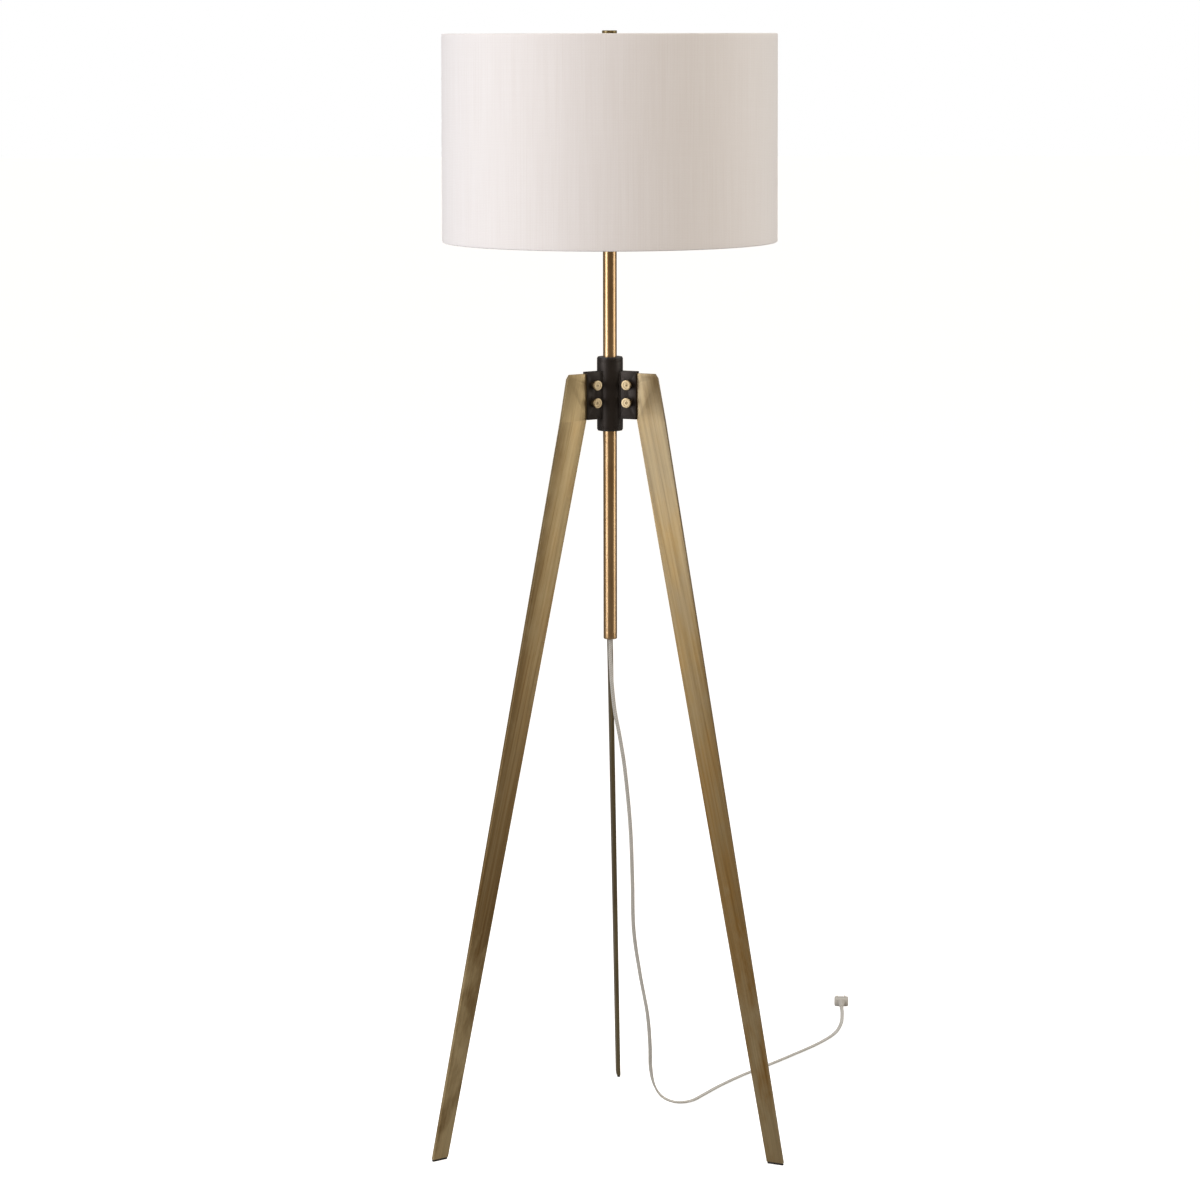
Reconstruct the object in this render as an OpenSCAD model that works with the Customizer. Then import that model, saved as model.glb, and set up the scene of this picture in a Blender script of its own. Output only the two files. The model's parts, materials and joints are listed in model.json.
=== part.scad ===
// Tripod floor lamp. Three flat bars are bolted between pairs of bracket plates on a
// sleeve. A pole slides through the sleeve and carries a socket, a harp and a drum shade.
// The floor is z = 0, the origin lies on the floor under the pole, +X is the lamp's right
// and -Y is its front.

/* [Shade] */
// Outer diameter of the drum at its top rim
shade_top_d = 457; // [360:1:620]
// Outer diameter of the drum at its bottom rim
shade_bottom_d = 460; // [360:1:620]
// Height of the drum
shade_h = 280; // [220:1:380]
// Height of the drum's bottom rim above the top of the sleeve
shade_rise = 159; // [60:1:400]
// Thickness of the fabric
fabric_t = 0.8; // [0.4:0.1:2]
// Thickness of the stiff liner behind the fabric
liner_t = 0.6; // [0.4:0.1:1.5]
// Diameter of the wire of both rings
ring_wire_d = 3.4; // [2:0.1:5]
// Diameter of the spider's three arms
spider_wire_d = 3; // [2:0.1:4]
// Outer diameter of the spider's washer
spider_washer_d = 26; // [20:0.5:36]
// How far the spider's washer lies below the top rim
spider_drop = 7; // [5:0.5:14]

/* [Sleeve and brackets] */
// Height of the sleeve's lower end above the floor
hub_z = 1010; // [750:1:1300]
// Height of the sleeve, with the flanges of its bushes
sleeve_h = 102; // [90:1:140]
// Outer diameter of the sleeve
sleeve_d = 36; // [32:0.5:44]
// Bore of the sleeve
sleeve_bore = 26; // [24:0.5:28]
// Turn of the brackets about the pole
hub_turn = 5.5; // [-30:0.5:30]
// Thickness of a bracket plate
plate_t = 3; // [2:0.5:5]
// Height of a bracket plate
plate_h = 66; // [56:1:80]
// Height of the plates' lower edge above the sleeve's lower end
plate_lift = 17; // [10:1:20]
// Distance from the pole's axis to the outer end of a plate
plate_reach = 41.5; // [38:0.5:60]

/* [Legs] */
// Thickness of a leg bar
leg_t = 5; // [3:0.5:8]
// Distance from the pole's axis to the bar's outer edge at its top
leg_top_r = 71; // [60:0.5:100]
// Distance from the pole's axis to the bar's outer edge at the floor
leg_foot_r = 280; // [200:1:400]
// Width of the bar at the floor
leg_foot_w = 24; // [15:0.5:45]
// Sideways lean of the bar below its bracket
leg_lean = 2.05; // [0:0.05:5]
// Width of the corner cut off the bar's outer top corner
leg_corner_w = 3; // [1:0.5:6]
// Height of the corner cut off the bar's outer top corner
leg_corner_h = 6; // [2:0.5:12]
// How far the bar's top lies below the plates' upper edge
leg_top_gap = 2.5; // [0:0.5:6]
// Thickness of the rubber pad under a foot
pad_t = 3; // [1:0.5:6]
// How far a pad stays inside the foot's outline
pad_inset = 0.5; // [0:0.1:2]

/* [Leg bolts] */
// Diameter of a bolt's shank
bolt_d = 6; // [4:0.5:8]
// Distance from the pole's axis to the bolts
bolt_r = 30.8; // [29:0.1:32]
// Height of the lower bolt above the plates' lower edge
bolt_lift = 23.3; // [12:0.1:26]
// Distance between the two bolts of a leg
bolt_gap = 24.5; // [20:0.5:30]
// Diameter of a bolt's round head
bolt_head_d = 14; // [10:0.5:16]
// Thickness of a bolt's round head
bolt_head_t = 3; // [2:0.5:5]
// Diameter of the collar under a bolt's head
bolt_collar_d = 9.5; // [8.5:0.5:11]
// Length of the collar under a bolt's head
bolt_collar_l = 6.5; // [3:0.5:10]
// Width across the flats of a cap nut
nut_af = 10; // [9:0.5:13]
// Clearance of a bolt in its holes, on the radius
bolt_clear = 0.15; // [0.05:0.05:0.4]

/* [Pole] */
// Outer diameter of the pole
pole_d = 19; // [16:0.5:20]
// Wall of the pole
pole_wall = 1.2; // [0.8:0.1:2]
// How far the pole hangs below the sleeve
pole_drop = 293; // [100:1:500]
// How far the pole's top stands above the shade's bottom rim
pole_top_rise = 26; // [5:1:60]
// Height of the end cap that shows below the pole's tube
end_cap_h = 6.5; // [4:0.5:15]
// Clearance between the pole and its bushes, on the radius
pole_clear = 0.05; // [0.02:0.01:0.1]
// Length of a bush inside the sleeve
bush_l = 20; // [10:1:28]
// Thickness of a bush's flange
bush_flange_t = 1.5; // [1:0.5:3]
// Diameter of the clamp screw's shank
clamp_d = 6; // [4:0.5:8]
// Diameter of the clamp screw's head
clamp_head_d = 16; // [12:0.5:20]

/* [Socket and bulb] */
// Outer diameter of the socket's shell
socket_d = 33.2; // [32:0.2:40]
// Height of the socket's shell that stands out of its cap
socket_h = 42; // [36:1:60]
// Wall of the socket's shell and cap
socket_wall = 0.7; // [0.5:0.1:1.2]
// Wall of the insulating liner in the shell
insulator_t = 0.5; // [0.3:0.1:1]
// Outer diameter of the bulb's screw base
base_d = 26; // [24:0.1:26.4]
// Largest diameter of the bulb
bulb_d = 60; // [45:1:80]
// Height of the bulb's glass above its screw base
bulb_h = 84; // [60:1:110]
// Wall of the bulb's glass
glass_t = 1; // [0.6:0.1:2]
// Diameter of the switch's stem
stem_d = 3.2; // [2.5:0.1:5]
// Diameter of the switch's turn knob
knob_d = 9; // [7:0.5:14]
// Length of the switch's turn knob
knob_l = 14; // [8:0.5:20]
// Distance from the pole's axis to the near end of the knob
knob_reach = 32; // [26:0.5:45]

/* [Harp and finial] */
// Diameter of the harp's wire
harp_wire_d = 4; // [3:0.2:5]
// Width of the harp between the centres of its wire
harp_w = 114; // [100:1:150]
// Distance between the two ends of the harp
harp_foot_w = 72; // [60:1:90]
// Width of the saddle's strip
saddle_w = 12; // [11:0.5:20]
// Thickness of the saddle's strip
saddle_t = 2; // [1.5:0.5:3]
// Outer diameter of a ferrule on the harp's ends
ferrule_d = 8; // [7:0.5:11]
// Length of a ferrule
ferrule_l = 12; // [8:0.5:16]
// Diameter of the stud on top of the harp
stud_d = 6.4; // [5:0.2:8]
// Diameter of the finial's disc
finial_d = 20.5; // [14:0.5:40]
// Height of the finial's disc
finial_disc_h = 5; // [3:0.5:12]

/* [Plug] */
// Length of the plug's body
plug_l = 28; // [24:1:40]
// Width of the plug's body
plug_w = 22; // [18:0.5:26]
// Height of the plug's body
plug_h = 13; // [10:0.5:20]
// Length of the plug's blades
blade_l = 17; // [12:0.5:19]

/* [Hidden] */

$fn = 64;

// Bearings of the three brackets about the pole
right_deg = hub_turn - 30;
rear_deg = hub_turn + 90;
left_deg = hub_turn + 210;

// Heights along the stand
plate_z = hub_z + plate_lift;
plate_top = plate_z + plate_h;
leg_top = plate_top - leg_top_gap;
// The bar bends sideways a little below the plates
bend_z = plate_z - 3;
bend_lap = 2;
bolt_zs = [plate_z + bolt_lift, plate_z + bolt_lift + bolt_gap];
sleeve_top = hub_z + sleeve_h;
// How far a bush's flange stays inside the sleeve's outline
flange_inset = 0.8;
clamp_z = hub_z + sleeve_h / 2;
clamp_deg = right_deg + 60;
// Clearance of the clamp screw in the sleeve's tapped hole, on the radius
clamp_clear = 0.05;

// Heights along the pole
shade_z = sleeve_top + shade_rise;
shade_top = shade_z + shade_h;
pole_z0 = hub_z - pole_drop;
pole_top = shade_z + pole_top_rise;
pole_bore = pole_d - 2 * pole_wall;
plug_flange_t = 3;
plug_spigot_l = 12;
saddle_z = pole_top + plug_flange_t;
socket_z = saddle_z + saddle_t;
nipple_d = 9.8;
nipple_bore = 7;
nut_t = 3;
cap_h = 20;
shell_z = socket_z + 11;
shell_top = socket_z + cap_h + socket_h;
core_z = socket_z + 10;
// The switch's stem passes through the shell above the cap, and through the core
stem_z = socket_z + cap_h + 7;
core_top = stem_z + 7;
contact_t = 1.2;
base_gap = 1;
base_z = core_top + contact_t + base_gap;
base_h = 25;
neck_r = base_d / 2 - 1.5;
// The glass sits this deep in the screw base
base_cup_h = 2;
glass_z = base_z + base_h - base_cup_h;

// Harp and stud
spider_z = shade_top - spider_drop;
washer_t = 2;
// Clearance of the stud in the washer and the finial, on the diameter
stud_clear = 0.1;
// Height of the saddle's posts, which the ends of the harp stand on
post_h = 8;
ferrule_z = saddle_z + saddle_t;
ferrule_travel = 12;
// Clearance of a ferrule on the wire and its post, on the radius
ferrule_clear = 0.1;
harp_foot_z = saddle_z + saddle_t + post_h;
// The wire stays straight until this far above a lifted ferrule
harp_straight_gap = 4;
harp_straight_z = ferrule_z + ferrule_l + ferrule_travel + harp_straight_gap;
stud_base_d = 10;
stud_base_h = 9;
stud_base_z = spider_z - stud_base_h;
harp_top_z = stud_base_z + harp_wire_d / 2 + 2;
finial_z = spider_z + washer_t + 0.3;
finial_collar_h = 4.5;
stud_l = washer_t + finial_collar_h + 3;

// Radius of the shade's outside at a height
function shade_r(z) =
  (shade_bottom_d + (shade_top_d - shade_bottom_d) * (z - shade_z) / shade_h) / 2;
// Lean of the shade's wall, which the rings lie against
wall_lean = atan((shade_bottom_d - shade_top_d) / 2 / shade_h);
ring_inset = fabric_t + liner_t + ring_wire_d / 2 / cos(wall_lean);

// Cord: its diameter and the points of its route, from the pole's end to the plug
cord_d = 5.5;
cord_sides = 10;
cord_bore = 6.5;
floor_z = 3;
cord_route = [
  [0, 0, 717], [0, 0, 704], [0, 0, 690], [2, 0, 655], [6, 2, 615],
  [14, 7, 570], [21, 16, 520], [28, 32, 440], [31, 50, 360],
  [33, 69, 280], [42, 87, 210], [53, 103, 145], [57, 115, 95],
  [58, 124, 58], [63, 129, 30], [75, 129, 11], [95, 124, 4],
  [118, 134, floor_z], [138, 165, floor_z], [162, 206, floor_z], [199, 260, floor_z],
  [240, 311, floor_z], [282, 366, floor_z], [322, 422, floor_z], [350, 474, floor_z],
  [364, 526, floor_z], [370, 580, floor_z], [372, 625, floor_z]
];
cord_steps = 3;
cord_end = cord_route[len(cord_route) - 1];
cord_back = cord_route[len(cord_route) - 2];
plug_deg = atan2(cord_end[1] - cord_back[1], cord_end[0] - cord_back[0]);
plug_neck_l = 12;
blade_gap = 12.7;
blade_t = 1.5;
blade_w = 6.3;

brass = "#b59a5e";
pole_brass = "#c9975a";
black = "#262320";
steel = "#b9b9b6";
white = "#f1efe9";
rubber = "#2b2b2b";

// Point at share t of the way from b to c on a smooth curve through a, b, c and d
function curve_point(a, b, c, d, t) =
  0.5 * (2 * b + (c - a) * t + (2 * a - 5 * b + 4 * c - d) * t * t
    + (3 * b - a - 3 * c + d) * t * t * t);

// Points along a smooth curve through a list of points
function smooth_route(p, steps) = [
  for (i = [0 : len(p) - 2], k = [0 : steps - 1])
    curve_point(
      i == 0 ? 2 * p[0] - p[1] : p[i - 1], p[i], p[i + 1],
      i == len(p) - 2 ? 2 * p[i + 1] - p[i] : p[i + 2], k / steps),
  p[len(p) - 1]
];

function unit(v) = v / norm(v);
function heading(p, i) = unit(p[min(i + 1, len(p) - 1)] - p[max(i - 1, 0)]);
// Side direction of each ring, carried along the route so that the tube does not twist
function side_next(side, dir) = unit(side - (side * dir) * dir);
function sides_along(p, i, side) =
  i == len(p) ? [] : let (s = side_next(side, heading(p, i))) concat([s], sides_along(p, i + 1, s));

// Round tube swept along points; its first and last rings close it
module tube_along(points, d, sides, first_side) {
  side = sides_along(points, 0, first_side);
  rings = [
    for (i = [0 : len(points) - 1], k = [0 : sides - 1])
      let (other = cross(heading(points, i), side[i]), a = 360 * k / sides)
        points[i] + d / 2 * (cos(a) * side[i] + sin(a) * other)
  ];
  walls = [
    for (i = [0 : len(points) - 2], k = [0 : sides - 1])
      let (n = (k + 1) % sides, a = i * sides, b = a + sides)
        [b + k, b + n, a + n, a + k]
  ];
  start = [for (k = [0 : sides - 1]) k];
  finish = [for (k = [sides - 1 : -1 : 0]) (len(points) - 1) * sides + k];
  polyhedron(rings, concat([start], walls, [finish]), convexity = 10);
}

module tube(d, bore, h) {
  difference() {
    cylinder(d = d, h = h);
    translate([0, 0, -1]) cylinder(d = bore, h = h + 2);
  }
}

// Turns its children to a bracket's bearing: x points away from the pole
module at_bracket(deg) {
  rotate([0, 0, deg]) children();
}

// Puts its children on both bolt axes of a bracket, with z along the bolt
module at_bolts() {
  for (z = bolt_zs) translate([bolt_r, 0, z]) rotate([-90, 0, 0]) children();
}

// ---- Sleeve, brackets and legs ----

module hub_sleeve() {
  color(black) difference() {
    translate([0, 0, hub_z + bush_flange_t])
      tube(sleeve_d, sleeve_bore, sleeve_h - 2 * bush_flange_t);
    translate([0, 0, clamp_z]) rotate([0, 90, clamp_deg])
      cylinder(d = clamp_d + 2 * clamp_clear, h = sleeve_d);
  }
}

// Bush with its flange at z = 0 and its barrel above it
module bush() {
  difference() {
    union() {
      cylinder(d = sleeve_d - 2 * flange_inset, h = bush_flange_t);
      cylinder(d = sleeve_bore, h = bush_flange_t + bush_l);
    }
    translate([0, 0, -1]) cylinder(d = pole_d + 2 * pole_clear, h = bush_flange_t + bush_l + 2);
  }
}

module sleeve_bush_upper() {
  color(black) translate([0, 0, sleeve_top]) mirror([0, 0, 1]) bush();
}

module sleeve_bush_lower() {
  color(black) translate([0, 0, hub_z]) bush();
}

module bracket_pair(deg) {
  color(black) at_bracket(deg) difference() {
    for (side = [-1, 1])
      translate([0, side * (leg_t + plate_t) / 2 - plate_t / 2, plate_z])
        cube([plate_reach, plate_t, plate_h]);
    translate([0, 0, plate_z - 1]) cylinder(d = sleeve_d, h = plate_h + 2);
    at_bolts() cylinder(d = bolt_d + 2 * bolt_clear, h = 40, center = true);
  }
}

module bracket_right() {
  bracket_pair(right_deg);
}

module bracket_rear() {
  bracket_pair(rear_deg);
}

module bracket_left() {
  bracket_pair(left_deg);
}

// Distance from the axis to the bar's outer and inner edges at a height
function leg_outer(z) = leg_foot_r + (leg_top_r - leg_foot_r) * z / leg_top;
function leg_inner(z) =
  leg_foot_r - leg_foot_w + (plate_reach - leg_foot_r + leg_foot_w) * z / plate_z;

// Outline of the bar's upright head, with the tab that goes between the plates
module leg_head_outline() {
  tab_r = sleeve_d / 2 + 1;
  polygon([
    [tab_r, plate_z + 2],
    [plate_reach, plate_z + 2],
    [plate_reach, plate_z],
    [leg_inner(bend_z), bend_z],
    [leg_outer(bend_z), bend_z],
    [leg_outer(leg_top - leg_corner_h), leg_top - leg_corner_h],
    [leg_top_r - leg_corner_w, leg_top],
    [tab_r, leg_top]
  ]);
}

// Outline of the bar below the bend, drawn in by an inset
module leg_blade_outline(low, high, inset) {
  polygon([
    [leg_inner(low) + inset, low],
    [leg_outer(low) - inset, low],
    [leg_outer(high) - inset, high],
    [leg_inner(high) + inset, high]
  ]);
}

module bar(thickness) {
  rotate([90, 0, 0]) linear_extrude(height = thickness, center = true) children();
}

// Leans its children sideways about the bend
module leaning() {
  translate([0, 0, bend_z]) rotate([-leg_lean, 0, 0]) translate([0, 0, -bend_z]) children();
}

module leg(deg) {
  color(brass) at_bracket(deg) difference() {
    union() {
      bar(leg_t) leg_head_outline();
      leaning() bar(leg_t) leg_blade_outline(-20, bend_z + bend_lap, 0);
    }
    at_bolts() cylinder(d = bolt_d + 2 * bolt_clear, h = 40, center = true);
    translate([0, -300, pad_t - 100]) cube([2 * leg_foot_r, 600, 100]);
  }
}

module leg_right() {
  leg(right_deg);
}

module leg_rear() {
  leg(rear_deg);
}

module leg_left() {
  leg(left_deg);
}

module foot_pad(deg) {
  color(rubber) at_bracket(deg) intersection() {
    leaning() bar(leg_t - 2 * pad_inset) leg_blade_outline(-20, 40, pad_inset);
    translate([0, -300, 0]) cube([2 * leg_foot_r, 600, pad_t]);
  }
}

module foot_pad_right() {
  foot_pad(right_deg);
}

module foot_pad_rear() {
  foot_pad(rear_deg);
}

module foot_pad_left() {
  foot_pad(left_deg);
}

// ---- Leg bolts and cap nuts ----

half_stack = leg_t / 2 + plate_t;
// Which side of its bracket each bolt's head is on: the side seen from the front
right_side = -1;
rear_side = 1;
left_side = 1;

module bolt() {
  recess_d = bolt_head_d * 0.62;
  dimple_d = bolt_head_d * 0.3;
  head_z = half_stack + bolt_collar_l;
  difference() {
    union() {
      translate([0, 0, -half_stack - nut_t]) cylinder(d = bolt_d, h = half_stack + nut_t + head_z);
      translate([0, 0, half_stack]) cylinder(d = bolt_collar_d, h = bolt_collar_l);
      translate([0, 0, head_z]) cylinder(d = bolt_head_d, h = bolt_head_t - 0.5);
      translate([0, 0, head_z + bolt_head_t - 0.5])
        cylinder(d1 = bolt_head_d, d2 = bolt_head_d - 1, h = 0.5);
    }
    translate([0, 0, head_z + bolt_head_t - 0.6]) tube(recess_d, dimple_d * 1.5, 1);
    translate([0, 0, head_z + bolt_head_t - 0.4]) cylinder(d = dimple_d, h = 1);
  }
}

module cap_nut() {
  dome_r = nut_af / 2 - 0.4;
  difference() {
    union() {
      cylinder(d = nut_af / cos(30), h = nut_t + 1.5, $fn = 6);
      translate([0, 0, nut_t + 1.5]) rotate_extrude() intersection() {
        circle(r = dome_r);
        square(dome_r);
      }
    }
    translate([0, 0, -1]) cylinder(d = bolt_d, h = nut_t + 1);
  }
}

module leg_bolts(deg, side) {
  color(brass) at_bracket(deg) mirror([0, side < 0 ? 1 : 0, 0]) at_bolts() bolt();
}

module cap_nuts(deg, side) {
  color(brass) at_bracket(deg) mirror([0, side < 0 ? 1 : 0, 0]) at_bolts()
    translate([0, 0, -half_stack]) mirror([0, 0, 1]) cap_nut();
}

module leg_bolts_right() {
  leg_bolts(right_deg, right_side);
}

module leg_bolts_rear() {
  leg_bolts(rear_deg, rear_side);
}

module leg_bolts_left() {
  leg_bolts(left_deg, left_side);
}

module cap_nuts_right() {
  cap_nuts(right_deg, right_side);
}

module cap_nuts_rear() {
  cap_nuts(rear_deg, rear_side);
}

module cap_nuts_left() {
  cap_nuts(left_deg, left_side);
}

// ---- Clamp screw at the back of the sleeve ----

module clamp_screw() {
  tip_r = pole_d / 2 + 0.3;
  head_r = sleeve_d / 2 + 5;
  head_h = 8;
  grips = 24;
  grip_d = 1.4;
  color(black) translate([0, 0, clamp_z]) rotate([0, 90, clamp_deg]) {
    translate([0, 0, tip_r]) cylinder(d = clamp_d, h = head_r - tip_r);
    difference() {
      translate([0, 0, head_r]) cylinder(d = clamp_head_d, h = head_h);
      for (i = [0 : grips - 1]) rotate([0, 0, i * 360 / grips])
        translate([clamp_head_d / 2 + 0.3, 0, head_r - 1])
          cylinder(d = grip_d, h = head_h + 2, $fn = 16);
    }
  }
}

// ---- Pole and what it carries ----

module pole() {
  color(pole_brass) translate([0, 0, pole_z0 + end_cap_h])
    tube(pole_d, pole_bore, pole_top - pole_z0 - end_cap_h);
}

module pole_end_cap() {
  spigot_l = 10;
  edge = 1;
  color(pole_brass) translate([0, 0, pole_z0]) difference() {
    union() {
      cylinder(d1 = pole_d - 2 * edge, d2 = pole_d, h = edge);
      translate([0, 0, edge]) cylinder(d = pole_d, h = end_cap_h - edge);
      translate([0, 0, end_cap_h]) cylinder(d = pole_bore, h = spigot_l);
    }
    translate([0, 0, -1]) cylinder(d = cord_bore, h = end_cap_h + spigot_l + 2);
  }
}

module pole_top_plug() {
  color(steel) difference() {
    union() {
      translate([0, 0, pole_top - plug_spigot_l]) cylinder(d = pole_bore, h = plug_spigot_l);
      translate([0, 0, pole_top]) cylinder(d = pole_d, h = plug_flange_t);
    }
    translate([0, 0, pole_top - plug_spigot_l - 1])
      cylinder(d = nipple_d, h = plug_spigot_l + plug_flange_t + 2);
  }
}

module threaded_nipple() {
  low = pole_top - plug_spigot_l;
  high = socket_z + socket_wall + nut_t + 2;
  color(steel) translate([0, 0, low]) tube(nipple_d, nipple_bore, high - low);
}

module harp_saddle() {
  foot_x = harp_foot_w / 2;
  color(steel) difference() {
    union() {
      translate([-foot_x - 3, -saddle_w / 2, saddle_z]) cube([2 * foot_x + 6, saddle_w, saddle_t]);
      for (side = [-1, 1]) translate([side * foot_x, 0, saddle_z + saddle_t])
        cylinder(d = harp_wire_d, h = post_h);
    }
    translate([0, 0, saddle_z - 1]) cylinder(d = nipple_d, h = saddle_t + 2);
  }
}

module saddle_locknut() {
  color(steel) translate([0, 0, socket_z + socket_wall]) difference() {
    cylinder(d = 15, h = nut_t, $fn = 6);
    translate([0, 0, -1]) cylinder(d = nipple_d, h = nut_t + 2);
  }
}

// Points of the harp's wire: up from one end, over the top and down to the other end
harp_h = harp_top_z - harp_straight_z;
harp_low_deg = -50;
harp_mid_z = harp_top_z - harp_h / (1 - sin(harp_low_deg));
harp_half_w = harp_w / 2;
function harp_x(a) = sign(cos(a)) * harp_half_w * pow(abs(cos(a)), 0.8);
function harp_z(a) = harp_mid_z + (harp_top_z - harp_mid_z) * sin(a);
harp_points = concat(
  [[harp_foot_w / 2, 0, harp_foot_z], [harp_foot_w / 2, 0, harp_straight_z - 2]],
  [for (a = [harp_low_deg + 10 : 10 : 180 - harp_low_deg - 10]) [harp_x(a), 0, harp_z(a)]],
  [[-harp_foot_w / 2, 0, harp_straight_z - 2], [-harp_foot_w / 2, 0, harp_foot_z]]
);

module harp_wire() {
  color(steel) tube_along(harp_points, harp_wire_d, 12, [0, 1, 0]);
}

module harp_stud() {
  color(steel) difference() {
    union() {
      translate([0, 0, stud_base_z]) cylinder(d = stud_base_d, h = stud_base_h);
      translate([0, 0, spider_z]) cylinder(d = stud_d, h = stud_l);
    }
    translate([0, 0, harp_top_z]) rotate([0, 90, 0])
      cylinder(d = harp_wire_d, h = stud_base_d + 2, center = true);
  }
}

module ferrule(side) {
  color(steel) translate([side * harp_foot_w / 2, 0, ferrule_z])
    tube(ferrule_d, harp_wire_d + 2 * ferrule_clear, ferrule_l);
}

module ferrule_left() {
  ferrule(-1);
}

module ferrule_right() {
  ferrule(1);
}

// ---- Socket, switch and bulb ----

core_d = socket_d - 2 * socket_wall - 2 * insulator_t;

module socket_cap() {
  outer = socket_d / 2 + socket_wall;
  color(steel) translate([0, 0, socket_z]) difference() {
    rotate_extrude() difference() {
      polygon([[0, 0], [10, 0], [outer - 1, 9], [outer, 11], [outer, cap_h], [0, cap_h]]);
      polygon([
        [0, socket_wall],
        [9.7, socket_wall],
        [outer - 1 - socket_wall, 9.3],
        [socket_d / 2, 11],
        [socket_d / 2, cap_h + 1],
        [0, cap_h + 1]
      ]);
    }
    translate([0, 0, -1]) cylinder(d = nipple_d, h = 4);
  }
}

module stem_hole(clear) {
  translate([0, 0, stem_z]) rotate([90, 0, 0]) cylinder(d = stem_d + 2 * clear, h = 40);
}

module socket_shell() {
  color(steel) difference() {
    union() {
      translate([0, 0, shell_z]) tube(socket_d, socket_d - 2 * socket_wall, shell_top - shell_z);
      translate([0, 0, socket_z + cap_h]) tube(socket_d + 2 * socket_wall, socket_d - 1, 1.5);
    }
    stem_hole(0.3);
  }
}

module shell_insulator() {
  color(white) difference() {
    translate([0, 0, shell_z])
      tube(socket_d - 2 * socket_wall, core_d, shell_top - shell_z - 2);
    stem_hole(0.3);
  }
}

module socket_core() {
  color(black) difference() {
    translate([0, 0, core_z]) cylinder(d = core_d, h = core_top - core_z);
    stem_hole(0.05);
    for (side = [-1, 1]) translate([side * 10, 0, core_z - 1]) cylinder(d = 3, h = 6);
  }
}

module screw_shell() {
  rings = 5;
  pitch = 3.6;
  inner = base_d / 2 + 0.4;
  color(steel) translate([0, 0, core_top]) difference() {
    union() {
      cylinder(r = inner + 0.6, h = rings * pitch + 3);
      for (i = [0 : rings - 1]) translate([0, 0, 2.4 + i * pitch])
        cylinder(r = inner + 1, h = pitch / 2);
    }
    translate([0, 0, contact_t]) cylinder(r = inner, h = rings * pitch + 5);
    translate([0, 0, -1]) cylinder(d = 10, h = 4);
  }
}

module centre_contact() {
  color(pole_brass) translate([0, 0, core_top]) {
    cylinder(d = 8, h = contact_t);
    translate([0, 0, contact_t]) cylinder(d1 = 6, d2 = 4, h = base_gap);
  }
}

module terminal_screws() {
  color(pole_brass) for (side = [-1, 1]) translate([side * 10, 0, core_z - 2.4]) {
    cylinder(d = 3, h = 6);
    cylinder(d = 6, h = 2);
  }
}

module switch_stem() {
  in_core = core_d / 2 - 9;
  color(pole_brass) translate([0, -in_core, stem_z]) rotate([90, 0, 0])
    cylinder(d = stem_d, h = knob_reach + 6 - in_core);
}

module switch_knob() {
  flutes = 12;
  color(black) translate([0, -knob_reach, stem_z]) rotate([90, 0, 0]) difference() {
    union() {
      cylinder(d = knob_d, h = knob_l - 1);
      translate([0, 0, knob_l - 1]) cylinder(d1 = knob_d, d2 = knob_d - 2, h = 1);
    }
    translate([0, 0, -1]) cylinder(d = stem_d, h = 7);
    for (i = [0 : flutes - 1]) rotate([0, 0, i * 360 / flutes])
      translate([knob_d / 2 + 0.4, 0, 2]) cylinder(d = 1.6, h = knob_l, $fn = 16);
  }
}

module bulb_base() {
  rings = 5;
  pitch = 3.6;
  color(steel) translate([0, 0, base_z]) difference() {
    union() {
      cylinder(d1 = 10, d2 = base_d - 4, h = 3);
      translate([0, 0, 3]) cylinder(d = base_d - 1.6, h = base_h - 3);
      for (i = [0 : rings - 1]) translate([0, 0, 3.4 + i * pitch])
        cylinder(d = base_d, h = pitch / 2);
    }
    translate([0, 0, base_h - base_cup_h]) cylinder(r = neck_r, h = base_cup_h + 1);
  }
}

// Half outline of the bulb: a ball on a neck that a smooth flare joins
bulb_r = bulb_d / 2;
ball_z = bulb_h + 2 - bulb_r;
function bulb_outline(shrink) = concat(
  [[0, 0], [neck_r - shrink, 0], [neck_r - shrink, base_cup_h]],
  [for (t = [0.15 : 0.1 : 0.85]) let (s = (1 - cos(180 * t)) / 2)
    [neck_r + (bulb_r * 0.93 - neck_r) * s - shrink, ball_z * 0.66 * t]],
  [for (a = [-22 : 8 : 90]) [(bulb_r - shrink) * cos(a), ball_z + (bulb_r - shrink) * sin(a)]],
  [[0, ball_z + bulb_r - shrink]]
);

module bulb_glass() {
  color(white) translate([0, 0, glass_z]) rotate_extrude() difference() {
    polygon(bulb_outline(0));
    translate([0, glass_t]) polygon([
      for (p = bulb_outline(glass_t)) [p[0], min(p[1], ball_z + bulb_r - 2 * glass_t)]
    ]);
  }
}

// ---- Shade ----

// Wall of the shade between two insets from its outer face
module shade_wall(outer_inset, inner_inset) {
  translate([0, 0, shade_z]) difference() {
    cylinder(r1 = shade_r(shade_z) - outer_inset, r2 = shade_r(shade_top) - outer_inset,
      h = shade_h, $fn = 180);
    translate([0, 0, -shade_h]) cylinder(
      r1 = shade_r(shade_z - shade_h) - inner_inset, r2 = shade_r(shade_top + shade_h) - inner_inset,
      h = 3 * shade_h, $fn = 180);
  }
}

module shade_fabric() {
  color(white) shade_wall(0, fabric_t);
}

module shade_liner() {
  color(white) shade_wall(fabric_t, fabric_t + liner_t);
}

module ring_at(z) {
  translate([0, 0, z]) rotate_extrude($fn = 180)
    translate([shade_r(z) - ring_inset, 0]) circle(d = ring_wire_d, $fn = 24);
}

ring_top_z = shade_top - ring_wire_d / 2 - 0.5;
ring_bottom_z = shade_z + ring_wire_d / 2 + 0.5;

module shade_ring_top() {
  color(steel) ring_at(ring_top_z);
}

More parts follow.
